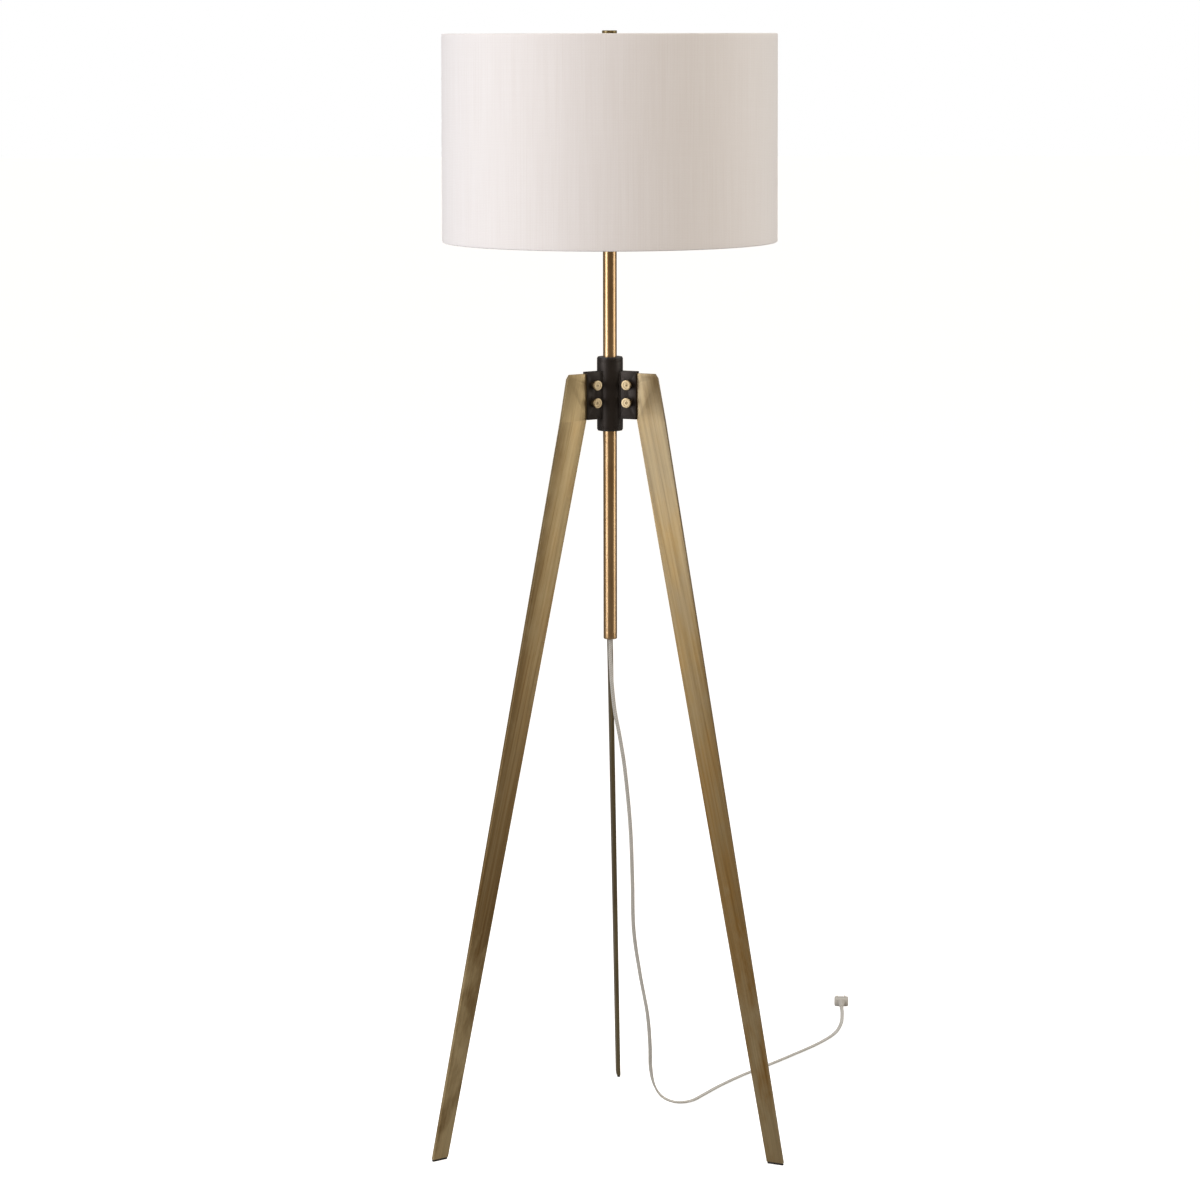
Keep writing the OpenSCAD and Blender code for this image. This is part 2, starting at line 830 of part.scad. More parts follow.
module shade_ring_bottom() {
  color(steel) ring_at(ring_bottom_z);
}

module spider_washer() {
  color(steel) translate([0, 0, spider_z]) tube(spider_washer_d, stud_d + stud_clear, washer_t);
}

// Three arms, butt-welded to the washer's rim and to the top ring
module spider_arms() {
  arm_z = spider_z + washer_t / 2;
  start_r = spider_washer_d / 2 - 3;
  run = shade_r(ring_top_z) - ring_inset - start_r;
  rise = ring_top_z - arm_z;
  color(steel) difference() {
    for (deg = [90, 210, 330]) rotate([0, 0, deg])
      translate([start_r, 0, arm_z]) rotate([0, 90 - atan2(rise, run), 0])
        cylinder(d = spider_wire_d, h = norm([run, rise]));
    ring_at(ring_top_z);
    translate([0, 0, spider_z - 5]) cylinder(d = spider_washer_d, h = washer_t + 10);
  }
}

module finial() {
  edge = 0.8;
  color(brass) translate([0, 0, finial_z]) difference() {
    union() {
      cylinder(d = 12, h = finial_collar_h);
      translate([0, 0, finial_collar_h]) cylinder(d = finial_d, h = finial_disc_h - edge);
      translate([0, 0, finial_collar_h + finial_disc_h - edge])
        cylinder(d1 = finial_d, d2 = finial_d - 2 * edge, h = edge);
    }
    translate([0, 0, -1]) cylinder(d = stud_d + stud_clear, h = stud_l - washer_t + 2);
  }
}

// ---- Cord and plug ----

module cord_in_pole() {
  color(white) translate([0, 0, pole_z0]) cylinder(d = cord_d, h = core_z - 4 - pole_z0);
}

module cord() {
  color(white) tube_along(smooth_route(cord_route, cord_steps), cord_d, cord_sides, [0, 1, 0]);
}

// Puts its children at the cord's end, with x along the plug
module at_plug() {
  translate([cord_end[0], cord_end[1], 0]) rotate([0, 0, plug_deg]) children();
}

module plug_body() {
  neck_z = cord_end[2];
  mid_z = plug_h / 2;
  color(white) at_plug() difference() {
    union() {
      hull() {
        translate([0, 0, neck_z + 0.25]) rotate([0, 90, 0]) cylinder(d = cord_d + 0.5, h = 1, $fn = 32);
        translate([plug_neck_l, 0, mid_z]) rotate([0, 90, 0])
          cylinder(d = plug_h * 0.8, h = 1, $fn = 32);
      }
      hull() for (y = [-1, 1], z = [2, plug_h - 2], x = [plug_neck_l + 2, plug_l - 1.5])
        translate([x, y * (plug_w / 2 - 2), z]) sphere(d = 4, $fn = 24);
    }
    translate([plug_l, -50, -1]) cube([100, 100, 60]);
  }
}

module plug_blades() {
  color(pole_brass) at_plug() for (side = [-1, 1])
    translate([plug_l, side * blade_gap / 2 - blade_t / 2, plug_h / 2 - blade_w / 2])
      cube([blade_l, blade_t, blade_w]);
}

hub_sleeve();
sleeve_bush_upper();
sleeve_bush_lower();
bracket_right();
bracket_rear();
bracket_left();
leg_right();
leg_rear();
leg_left();
foot_pad_right();
foot_pad_rear();
foot_pad_left();
leg_bolts_right();
leg_bolts_rear();
leg_bolts_left();
cap_nuts_right();
cap_nuts_rear();
cap_nuts_left();
clamp_screw();
pole();
pole_end_cap();
pole_top_plug();
threaded_nipple();
harp_saddle();
saddle_locknut();
harp_wire();
harp_stud();
ferrule_left();
ferrule_right();
socket_cap();
socket_shell();
shell_insulator();
socket_core();
screw_shell();
centre_contact();
terminal_screws();
switch_stem();
switch_knob();
bulb_base();
bulb_glass();
shade_fabric();
shade_liner();
shade_ring_top();
shade_ring_bottom();
spider_washer();
spider_arms();
finial();
cord_in_pole();
cord();
plug_body();
plug_blades();
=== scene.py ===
"""Looks for a tripod floor lamp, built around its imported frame.

A drum shade hangs on a harp above a brass pole. The pole slides through a black sleeve, and
three flat brass bars are bolted to the sleeve's bracket plates. Every size comes from the
frame, and everything is in metres.
"""

import json
import logging
import math
from dataclasses import dataclass, field
from enum import Enum
from typing import Callable, ClassVar, Iterable, Sequence

import bmesh
import bpy
from mathutils import Matrix, Vector

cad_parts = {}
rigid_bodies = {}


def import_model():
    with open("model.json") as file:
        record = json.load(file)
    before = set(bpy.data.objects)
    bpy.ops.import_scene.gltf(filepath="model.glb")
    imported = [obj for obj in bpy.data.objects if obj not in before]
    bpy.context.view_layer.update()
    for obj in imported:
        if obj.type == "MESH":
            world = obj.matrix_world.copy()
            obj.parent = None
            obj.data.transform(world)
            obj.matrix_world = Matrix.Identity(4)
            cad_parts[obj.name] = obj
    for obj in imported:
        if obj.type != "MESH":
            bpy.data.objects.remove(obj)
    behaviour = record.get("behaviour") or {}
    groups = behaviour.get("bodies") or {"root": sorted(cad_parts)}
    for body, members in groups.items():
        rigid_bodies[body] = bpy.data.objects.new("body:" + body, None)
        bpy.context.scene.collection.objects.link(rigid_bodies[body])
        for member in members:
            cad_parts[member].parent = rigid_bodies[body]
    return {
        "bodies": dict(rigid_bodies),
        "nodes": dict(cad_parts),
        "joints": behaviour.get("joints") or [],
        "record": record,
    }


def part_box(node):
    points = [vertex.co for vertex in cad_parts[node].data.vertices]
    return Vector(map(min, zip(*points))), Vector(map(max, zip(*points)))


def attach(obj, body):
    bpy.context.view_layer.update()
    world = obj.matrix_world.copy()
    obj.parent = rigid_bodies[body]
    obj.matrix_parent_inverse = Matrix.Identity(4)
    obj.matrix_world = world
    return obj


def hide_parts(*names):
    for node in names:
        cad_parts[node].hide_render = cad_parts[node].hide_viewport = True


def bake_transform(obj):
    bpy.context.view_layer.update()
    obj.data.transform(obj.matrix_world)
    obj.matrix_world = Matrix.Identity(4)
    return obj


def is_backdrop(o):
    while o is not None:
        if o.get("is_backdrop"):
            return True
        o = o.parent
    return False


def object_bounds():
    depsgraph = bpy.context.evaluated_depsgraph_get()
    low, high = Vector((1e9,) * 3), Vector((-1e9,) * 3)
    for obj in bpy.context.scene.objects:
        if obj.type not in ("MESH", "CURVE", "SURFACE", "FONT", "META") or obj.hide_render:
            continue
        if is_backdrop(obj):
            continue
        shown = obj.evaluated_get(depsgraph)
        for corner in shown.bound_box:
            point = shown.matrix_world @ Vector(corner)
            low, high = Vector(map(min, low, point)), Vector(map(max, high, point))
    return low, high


LOG = logging.getLogger("floor_lamp")
MM = 0.001
UV_NAME = "surface"
# The values that a noise pattern mostly keeps to
NOISE_SPAN = (0.3, 0.7)
Pattern = bpy.types.Node | bpy.types.NodeSocket


# ---------------------------------------------------------------------------------------
# Colour and node helpers
# ---------------------------------------------------------------------------------------


def linear(code: str) -> tuple[float, float, float, float]:
    """Turns an sRGB hex code into linear colour.

    Args:
        code: The colour, such as "#c9975a".

    Returns:
        Red, green, blue and alpha, the first three linear.
    """
    shares = [int(code[i:i + 2], 16) / 255 for i in (1, 3, 5)]
    rgb = [s / 12.92 if s <= 0.04045 else ((s + 0.055) / 1.055) ** 2.4 for s in shares]
    return (rgb[0], rgb[1], rgb[2], 1.0)


def grey(value: float) -> tuple[float, float, float, float]:
    """Returns a neutral colour of one linear value."""
    return (value, value, value, 1.0)


def feed(tree: bpy.types.NodeTree, node: bpy.types.Node, **inputs: object) -> None:
    """Gives a node's inputs their values and links.

    Args:
        tree: The node's tree.
        node: The node.
        inputs: Input names, with "_" for a space, and for each a value, a socket, or a node
            whose first output is meant. A name such as in6 means that input by its number.
    """
    for name, source in inputs.items():
        number = name[2:]
        key = int(number) if name.startswith("in") and number.isdigit() else name.replace("_", " ")
        if isinstance(source, bpy.types.Node):
            source = source.outputs[0]
        if isinstance(source, bpy.types.NodeSocket):
            tree.links.new(source, node.inputs[key])
        else:
            node.inputs[key].default_value = source


def add(tree: bpy.types.NodeTree, kind: str, settings: dict | None = None,
        **inputs: object) -> bpy.types.Node:
    """Adds a node with its settings and links.

    Args:
        tree: The node tree that gets the node.
        kind: The node's type, without its prefix.
        settings: Properties and their values. "stops" gives a colour ramp its places and
            colours.
        inputs: What feeds the node, as feed takes it.

    Returns:
        The new node.
    """
    node = tree.nodes.new("ShaderNode" + kind)
    for name, value in (settings or {}).items():
        if name != "stops":
            setattr(node, name, value)
            continue
        elements = node.color_ramp.elements
        while len(elements) < len(value):
            elements.new(0.5)
        for element, (place, colour) in zip(elements, value):
            element.position, element.color = place, colour
    feed(tree, node, **inputs)
    return node


# ---------------------------------------------------------------------------------------
# Finishes
# ---------------------------------------------------------------------------------------


@dataclass(frozen=True)
class Finish:
    """A surface finish that turns into one material."""

    name: str

    def material(self) -> bpy.types.Material:
        """Returns the finish's material, made on first use."""
        found = bpy.data.materials.get(self.name)
        if found:
            return found
        made = bpy.data.materials.new(self.name)
        made.use_nodes = True
        tree = made.node_tree
        tree.nodes.clear()
        shader = add(tree, "BsdfPrincipled")
        add(tree, "OutputMaterial", Surface=shader)
        self.dress(tree, shader)
        return made

    def dress(self, tree: bpy.types.NodeTree, shader: bpy.types.Node) -> None:
        """Adds the finish's own nodes.

        Args:
            tree: The material's node tree.
            shader: Its Principled shader.
        """
        raise NotImplementedError

    @staticmethod
    def place(tree: bpy.types.NodeTree, scale: Sequence[float], on_uv: bool = False,
              turn: Sequence[float] = (0, 0, 0)) -> bpy.types.Node:
        """Adds the stretched coordinates that a pattern is drawn on.

        Args:
            tree: The node tree.
            scale: Repeats per metre along each axis.
            on_uv: Whether to read the piece's own UV map instead of object space.
            turn: Turn of the pattern about each axis, in radians.

        Returns:
            The node that gives them.
        """
        source = add(tree, "UVMap", {"uv_map": UV_NAME}) if on_uv else (
            add(tree, "TexCoord").outputs["Object"])
        return add(tree, "Mapping", Scale=scale, Rotation=turn, Vector=source)

    def clouds(self, tree: bpy.types.NodeTree, scale: Sequence[float], detail: float,
               rough: float = 0.55, on_uv: bool = False) -> bpy.types.Node:
        """Adds a cloudy pattern, which stretched coordinates turn into streaks or lines.

        Args:
            tree: The node tree.
            scale: Repeats per metre along each axis.
            detail: How many finer patterns lie over the first.
            rough: How strong those are.
            on_uv: Whether to read the piece's own UV map instead of object space.

        Returns:
            The node that gives the pattern.
        """
        return add(tree, "TexNoise", Scale=1.0, Detail=detail, Roughness=rough,
                   Vector=self.place(tree, scale, on_uv))

    @staticmethod
    def tinted(tree: bpy.types.NodeTree, under: object, tint: object, by: Pattern, most: float,
               least: float = 0.0, span: tuple[float, float] = NOISE_SPAN,
               how: str = "MIX") -> bpy.types.NodeSocket:
        """Lays a tint over a colour, as much as a pattern says.

        Args:
            tree: The node tree.
            under: The colour underneath, or its socket.
            tint: The tint.
            by: The pattern.
            most: The tint's share at the top of the span.
            least: Its share at the bottom of the span.
            span: The pattern's values at the bottom and top.
            how: How the tint is laid over.

        Returns:
            The mixed colour's socket.
        """
        share = add(tree, "MapRange", From_Min=span[0], From_Max=span[1], To_Min=least,
                    To_Max=most, Value=by)
        return add(tree, "Mix", {"data_type": "RGBA", "blend_type": how}, in0=share, in6=under,
                   in7=tint).outputs[2]

    @staticmethod
    def touch(tree: bpy.types.NodeTree, shader: bpy.types.Node, by: Pattern, low: float,
              high: float, relief: Pattern | None = None, depth: float = 0.0,
              strength: float = 0.0) -> None:
        """Gives the surface its roughness and its relief.

        Args:
            tree: The node tree.
            shader: The Principled shader.
            by: The pattern that the roughness follows.
            low: The roughness where that pattern is weak.
            high: The roughness where it is strong.
            relief: The pattern that stands up from the surface, if one does.
            depth: How far it stands up, in metres.
            strength: How much of that shows.
        """
        rough = add(tree, "MapRange", From_Min=NOISE_SPAN[0], From_Max=NOISE_SPAN[1],
                    To_Min=low, To_Max=high, Value=by)
        feed(tree, shader, Roughness=rough)
        if relief is not None:
            raised = add(tree, "Bump", Strength=strength, Distance=depth, Height=relief)
            feed(tree, shader, Normal=raised)


@dataclass(frozen=True)
class AntiqueBrass(Finish):
    """Flat brass bar, brushed lengthwise, darkened with patina and part wiped back.

    It shows fine lines along the bar and cloudy olive and brown patches over a colour ramp
    by height that is painted light: painted reflection near the top and at the foot, and
    painted shade between. Lines are 0.2 mm apart on the bar and drawn at 0.9 mm, so that
    they show. The UV map runs across and along the bar in metres.
    """

    # Ramp colours from top to foot: the lighter top and foot are painted reflection and the darker
    # stretch between is painted shade, over the brass's own patina tone
    light: str
    mid: str
    dark: str
    foot: str
    low: float
    high: float
    wiped: str = "#c9b489"
    line_mm: float = 0.9
    bands_per_m: float = 230.0
    patch_mm: float = 26.0

    def dress(self, tree: bpy.types.NodeTree, shader: bpy.types.Node) -> None:
        """Adds patina colour, brushed lines and their relief."""
        patch = 1000 / self.patch_mm
        lines = self.clouds(tree, (1000 / self.line_mm, 9, 1), 3, 0.6, on_uv=True)
        bands = self.clouds(tree, (self.bands_per_m, 3.2, 1), 2, on_uv=True)
        clouds = self.clouds(tree, (patch, patch * 0.3, 1), 4, 0.6, on_uv=True)
        place = add(tree, "TexCoord").outputs["Object"]
        height = add(tree, "SeparateXYZ", Vector=place).outputs["Z"]
        # The colour ramps with height as painted light: painted reflection at the top and foot,
        # painted shade between
        rise = add(tree, "MapRange", From_Min=self.low, From_Max=self.high, Value=height)
        wander = add(tree, "MapRange", From_Min=NOISE_SPAN[0], From_Max=NOISE_SPAN[1],
                     To_Min=-0.22, To_Max=0.22, Value=clouds)
        shifted = add(tree, "Math", {"use_clamp": True}, in0=rise, in1=wander)
        stops = zip((0.0, 0.3, 0.62, 1.0), map(linear, (self.foot, self.dark, self.mid, self.light)))
        patina_with_painted_light = add(tree, "ValToRGB", {"stops": list(stops)}, Fac=shifted)
        brushed = self.tinted(tree, patina_with_painted_light, grey(0.42), lines, 0.5, how="MULTIPLY")
        banded = self.tinted(tree, brushed, linear(self.wiped), bands, 0.28)
        feed(tree, shader, Base_Color=banded, Metallic=0.82)
        self.touch(tree, shader, clouds, 0.36, 0.5, lines, 0.06 * MM, 0.5)


@dataclass(frozen=True)
class BrushedBrass(Finish):
    """Turned or drawn brass, brushed and lacquered.

    It shows fine lines, a broad soft highlight and slight uneven tone. turned says whether
    the lines run round the axis or along it. Lines are under 0.1 mm apart on the brass and
    are drawn coarser, so that they show.
    """

    light: str
    dark: str
    roughness: float = 0.26
    turned: bool = False
    line_mm: float = 0.5
    line_share: float = 0.22
    line_depth: float = 0.01 * MM
    lacquer: float = 0.2

    def dress(self, tree: bpy.types.NodeTree, shader: bpy.types.Node) -> None:
        """Adds tone, lines and lacquer."""
        fine = 1000 / self.line_mm
        lines = self.clouds(tree, (12, 12, fine) if self.turned else (fine, fine, 6), 2)
        tone = self.clouds(tree, (60, 60, 14), 3)
        mixed = self.tinted(tree, linear(self.dark), linear(self.light), tone, 1.0)
        brushed = self.tinted(tree, mixed, grey(0.45), lines, self.line_share, how="MULTIPLY")
        feed(tree, shader, Base_Color=brushed, Metallic=1.0, Coat_Weight=self.lacquer,
             Coat_Roughness=0.15)
        self.touch(tree, shader, lines, self.roughness - 0.02, self.roughness + 0.04, lines,
                   self.line_depth, 0.35)


@dataclass(frozen=True)
class PowderCoat(Finish):
    """Steel with a satin black powder coat.

    It shows a fine orange-peel grain, a soft sheen and a little brown where light grazes it.
    """

    colour: str = "#100e0c"
    worn: str = "#1a1613"
    sheen: str = "#f6e6da"
    grain_mm: float = 0.9

    def dress(self, tree: bpy.types.NodeTree, shader: bpy.types.Node) -> None:
        """Adds grain and slight tone."""
        grain = self.clouds(tree, [1000 / self.grain_mm] * 3, 2)
        tone = self.clouds(tree, (70, 70, 40), 3)
        base = self.tinted(tree, linear(self.colour), linear(self.worn), tone, 1.0)
        feed(tree, shader, Base_Color=base, IOR=1.5, Specular_Tint=linear(self.sheen))
        self.touch(tree, shader, grain, 0.42, 0.56, grain, 0.08 * MM, 0.35)


@dataclass(frozen=True)
class PlatedSteel(Finish):
    """Steel wire or sheet with a bright zinc plate or a thin dip coat.

    It shows a cloudy, slightly crystalline tone and a soft metallic shine.
    """

    colour: str
    roughness: float = 0.3
    metallic: float = 1.0
    clouds_per_m: float = 260.0

    def dress(self, tree: bpy.types.NodeTree, shader: bpy.types.Node) -> None:
        """Adds cloudy tone and roughness."""
        clouds = self.clouds(tree, [self.clouds_per_m] * 3, 4, 0.65)
        base = self.tinted(tree, linear(self.colour), grey(0.32), clouds, 0.35)
        feed(tree, shader, Base_Color=base, Metallic=self.metallic)
        self.touch(tree, shader, clouds, self.roughness - 0.05, self.roughness + 0.12, clouds,
                   0.03 * MM, 0.4)


@dataclass(frozen=True)
class Moulded(Finish):
    """Moulded plastic or rubber.

    It shows a fine spark-eroded grain, a faint mottle and an even sheen. Grain is about
    0.1 mm on the part and is drawn coarser, so that it shows.
    """

    colour: str
    roughness: float = 0.45
    grain_mm: float = 0.5
    grain_depth: float = 0.04 * MM
    clearness: float = 0.0
    mottles_per_m: float = 90.0

    def dress(self, tree: bpy.types.NodeTree, shader: bpy.types.Node) -> None:
        """Adds grain and mottle."""
        grain = self.clouds(tree, [1000 / self.grain_mm] * 3, 2)
        mottle = self.clouds(tree, [self.mottles_per_m] * 3, 3)
        base = self.tinted(tree, linear(self.colour), grey(0.2), mottle, 0.12)
        feed(tree, shader, Base_Color=base, IOR=1.49, Subsurface_Weight=self.clearness,
             Subsurface_Radius=(2 * MM, 2 * MM, 2 * MM))
        self.touch(tree, shader, grain, self.roughness - 0.05, self.roughness + 0.08, grain,
                   self.grain_depth, 0.4)


@dataclass(frozen=True)
class WovenLinen(Finish):
    """White cotton and linen, plain woven.

    It shows upright and level threads, with thicker slubs that make faint upright streaks,
    and a soft sheen. Threads are 0.5 mm apart on the cloth and drawn at 1.1 mm, so that they
    show. The UV map runs round and up the shade in metres.
    """

    colour: str = "#f8f5f3"
    shadow: str = "#ded6d0"
    thread_mm: float = 1.1
    slubs_per_m: float = 430.0

    def dress(self, tree: bpy.types.NodeTree, shader: bpy.types.Node) -> None:
        """Adds the weave, its slubs and their relief."""
        plain = self.place(tree, (1, 1, 1), True)
        threads = [add(tree, "TexWave", {"wave_type": "BANDS", "bands_direction": way},
                       Scale=1000 / self.thread_mm / math.tau, Distortion=0.35, Detail=1.0,
                       Detail_Scale=2.0, Vector=plain).outputs["Fac"] for way in ("X", "Y")]
        weave = add(tree, "Math", {"operation": "MULTIPLY"}, in0=threads[0], in1=threads[1])
        slub, level, broad = (self.clouds(tree, scale, 2, on_uv=True) for scale in (
            (self.slubs_per_m, 7, 1), (9, self.slubs_per_m, 1), (45, 1.2, 1)))
        shadow = linear(self.shadow)
        cloth = self.tinted(tree, linear(self.colour), shadow, weave, 0.0, 0.14, (0.1, 0.8))
        for pattern, share in ((slub, 0.2), (level, 0.05), (broad, 0.05)):
            cloth = self.tinted(tree, cloth, shadow, pattern, share)
        height = add(tree, "Math", in0=weave, in1=slub)
        relief = add(tree, "Bump", Strength=0.3, Distance=0.1 * MM, Height=height)
        feed(tree, shader, Base_Color=cloth, Roughness=0.85, Specular_IOR_Level=0.2,
             Sheen_Weight=0.15, Sheen_Roughness=0.5, Normal=relief)


@dataclass(frozen=True)
class LinerSheet(Finish):
    """White styrene sheet, laminated behind the fabric.

    It shows a smooth eggshell surface with the weave just pressed through.
    """

    colour: str = "#f3f0ea"
    aged: str = "#e6e0d6"

    def dress(self, tree: bpy.types.NodeTree, shader: bpy.types.Node) -> None:
        """Adds eggshell grain."""
        grain = self.clouds(tree, (700, 700, 700), 2)
        tone = self.clouds(tree, (20, 20, 20), 2)
        base = self.tinted(tree, linear(self.colour), linear(self.aged), tone, 0.3)
        feed(tree, shader, Base_Color=base)
        self.touch(tree, shader, grain, 0.5, 0.62, grain, 0.05 * MM, 0.3)


@dataclass(frozen=True)
class FrostedGlass(Finish):
    """Blown glass with a white inside frost.

    It shows a milky body under a smooth clear outer face.
    """

    colour: str = "#f3f1ec"
    thin: str = "#dfdcd4"

    def dress(self, tree: bpy.types.NodeTree, shader: bpy.types.Node) -> None:
        """Adds milky tone and a clear coat."""
        frost = self.clouds(tree, (900, 900, 900), 2)
        base = self.tinted(tree, linear(self.colour), linear(self.thin), frost, 0.15)
        feed(tree, shader, Base_Color=base, Subsurface_Weight=0.3,
             Subsurface_Radius=(10 * MM, 10 * MM, 10 * MM), Coat_Weight=1.0, Coat_Roughness=0.04)
        self.touch(tree, shader, frost, 0.3, 0.4)


@dataclass(frozen=True)
class ClearFlex(Finish):
    """Clear PVC flex over twisted tinned strands.

    It shows silvery diagonal strands under a glossy, slightly milky jacket. Strands are
    0.2 mm on the flex and drawn at 1.2 mm. The UV map runs round and along the flex.
    """

    colour: str = "#dcdad2"
    strand: str = "#aeaca2"
    jacket: str = "#e6e4dc"
    strand_mm: float = 1.2
    lay_deg: float = 28.0

    def dress(self, tree: bpy.types.NodeTree, shader: bpy.types.Node) -> None:
        """Adds the strands and the jacket's gloss."""
        lay = self.place(tree, (1, 1, 1), True, (0, 0, math.radians(self.lay_deg)))
        strands = add(tree, "TexWave", {"wave_type": "BANDS", "bands_direction": "Y"},
                      Scale=1000 / self.strand_mm / math.tau, Distortion=0.4, Vector=lay)
        milk = self.clouds(tree, (40, 25, 1), 2, on_uv=True)
        wires = add(tree, "Mix", {"data_type": "RGBA"}, in0=strands.outputs["Fac"],
                    in6=linear(self.strand), in7=linear(self.colour)).outputs[2]
        milky = self.tinted(tree, wires, linear(self.jacket), milk, 0.45, 0.1)
        feed(tree, shader, Base_Color=milky, Metallic=0.1, Coat_Weight=0.8, Coat_Roughness=0.12)
        self.touch(tree, shader, milk, 0.3, 0.42)


@dataclass(frozen=True)
class StudioFloor(Finish):
    """Seamless white studio paper, lit from behind so that it stays white.

    The lamp's metal sees it as a mid grey, so that brass keeps its depth.
    """

    colour: str = "#f7f6f4"
    shaded: str = "#f1efec"
    seen_by_metal: float = 0.34
    glow: float = 0.72

    def dress(self, tree: bpy.types.NodeTree, shader: bpy.types.Node) -> None:
        """Adds the paper's faint tone and its glow."""
        tone = self.clouds(tree, (1.2, 1.2, 1), 2)
        paper = self.tinted(tree, linear(self.colour), linear(self.shaded), tone, 0.15)
        seen = add(tree, "LightPath").outputs["Is Camera Ray"]
        either = add(tree, "Mix", {"data_type": "RGBA"}, in0=seen, in6=grey(self.seen_by_metal),
                     in7=paper).outputs[2]
        glow = add(tree, "Math", {"operation": "MULTIPLY"}, in0=seen, in1=self.glow)
        feed(tree, shader, Base_Color=either, Emission_Color=grey(1.0), Emission_Strength=glow,
             Roughness=0.9, Specular_IOR_Level=0.1)


class Metal(Enum):
    """Bare and plated metals of the lamp."""

    POLE = BrushedBrass("brushed_lacquered_brass", "#c6a475", "#b69160", 0.31,
                        line_mm=1.4, line_share=0.1, line_depth=0.001 * MM, lacquer=0.9)
    TURNED = BrushedBrass("turned_brass", "#b8a785", "#9f8b67", 0.36, turned=True)
    AGED = BrushedBrass("aged_turned_brass", "#94835a", "#6b5c3a", 0.3, turned=True)
    BRIGHT = BrushedBrass("bright_dip_brass", "#d8b46a", "#c39c52", 0.2, turned=True)
    ZINC = PlatedSteel("zinc_plated_steel", "#c2c2bf")
    SHEET = PlatedSteel("rolled_aluminium", "#cfcfd0", 0.24)
    DIPPED = PlatedSteel("white_dip_coated_wire", "#e9e7e2", 0.4, 0.0)


class Coating(Enum):
    """Painted, moulded and other coverings of the lamp."""

    BLACK = PowderCoat("black_powder_coat")
    NYLON = Moulded("black_moulded_nylon", "#1c1b1a", 0.5)
    RUBBER = Moulded("moulded_black_rubber", "#1a1a1b", 0.7, 0.8, 0.08 * MM)
    PHENOLIC = Moulded("moulded_brown_phenolic", "#241a15", 0.28)
    FIBRE = Moulded("pressed_fibre_paper", "#cdc6b2", 0.8, 1.2, 0.08 * MM)
    PLUG = Moulded("moulded_pale_vinyl", "#cdcac2", 0.34, 0.7, 0.04 * MM, 0.1)
    LINEN = WovenLinen("white_woven_linen")
    LINER = LinerSheet("styrene_liner")
    GLASS = FrostedGlass("inside_frosted_glass")
    FLEX = ClearFlex("clear_twin_flex")
    PAPER = StudioFloor("studio_paper")


# ---------------------------------------------------------------------------------------
# Mesh helpers
# ---------------------------------------------------------------------------------------


def to_object(name: str, mesh: bmesh.types.BMesh, smooth_deg: float = 35.0) -> bpy.types.Object:
    """Makes an object at the origin from a bmesh, and frees the bmesh.

    Args:
        name: The piece's name.
        mesh: The shape, in the frame's own place.
        smooth_deg: Edges that turn by more than this stay crisp.

    Returns:
        The object, linked to the scene.
    """
    for face in mesh.faces:
        face.smooth = True
    for edge in mesh.edges:
        edge.smooth = len(edge.link_faces) == 2 and edge.calc_face_angle(0) < math.radians(smooth_deg)
    data = bpy.data.meshes.new(name)
    mesh.to_mesh(data)
    mesh.free()
    made = bpy.data.objects.new(name, data)
    bpy.context.scene.collection.objects.link(made)
    return made


def merged_copy(node: str, flat_deg: float = 0.4) -> bmesh.types.BMesh:
    """Returns a CAD node's shape with its loose triangles joined into flat faces.

    Args:
        node: The CAD node.
        flat_deg: Faces within this angle become one.

    Returns:
        A new bmesh.
    """
    mesh = bmesh.new()
    mesh.from_mesh(bpy.data.objects[node].data)
    bmesh.ops.remove_doubles(mesh, verts=mesh.verts, dist=0.005 * MM)
    bmesh.ops.dissolve_limit(mesh, angle_limit=math.radians(flat_deg), verts=mesh.verts,
                             edges=mesh.edges, use_dissolve_boundaries=False)
    bmesh.ops.recalc_face_normals(mesh, faces=mesh.faces)
    return mesh


def soften(mesh: bmesh.types.BMesh, width: float, segments: int, over_deg: float) -> None:
    """Rounds a shape's sharp edges.

    Args:
        mesh: The shape.
        width: How far the rounding reaches from each edge, in metres.
        segments: Faces across the rounding.
        over_deg: Only edges that turn by more than this are rounded.
    """
    limit = math.radians(over_deg)
    edges = [e for e in mesh.edges if len(e.link_faces) == 2 and e.calc_face_angle(0) > limit]
    bmesh.ops.bevel(mesh, geom=edges, offset=width, offset_type="OFFSET", segments=segments,
                    profile=0.5, affect="EDGES", material=-1, clamp_overlap=True)


def lathe(profile: Sequence[tuple[float, float]], place: Matrix = Matrix.Identity(4),
          steps: int = 64) -> bmesh.types.BMesh:
    """Spins an outline about its z axis.

    Args:
        profile: Radius and height of each point, in metres. A closed ring repeats its first
            point at its end.
        place: Where the finished shape goes.
        steps: Faces round the axis.

    Returns:
        A closed bmesh.
    """
    mesh = bmesh.new()
    points = [mesh.verts.new((r, 0, z)) for r, z in profile]
    edges = [mesh.edges.new(pair) for pair in zip(points, points[1:])]
    bmesh.ops.spin(mesh, geom=points + edges, cent=(0, 0, 0), axis=(0, 0, 1),
                   angle=math.tau, steps=steps, use_merge=True)
    bmesh.ops.remove_doubles(mesh, verts=mesh.verts, dist=0.001 * MM)
    bmesh.ops.recalc_face_normals(mesh, faces=mesh.faces)
    bmesh.ops.transform(mesh, matrix=place, verts=mesh.verts)
    return mesh


def joined(parts: Iterable[bmesh.types.BMesh]) -> bmesh.types.BMesh:
    """Puts several shapes into one bmesh, and frees them.

    Args:
        parts: The shapes.

    Returns:
        One bmesh that holds them all.
    """
    whole = bmesh.new()
    for part in parts:
        data = bpy.data.meshes.new("part")
        part.to_mesh(data)
        part.free()
        whole.from_mesh(data)
        bpy.data.meshes.remove(data)
    return whole


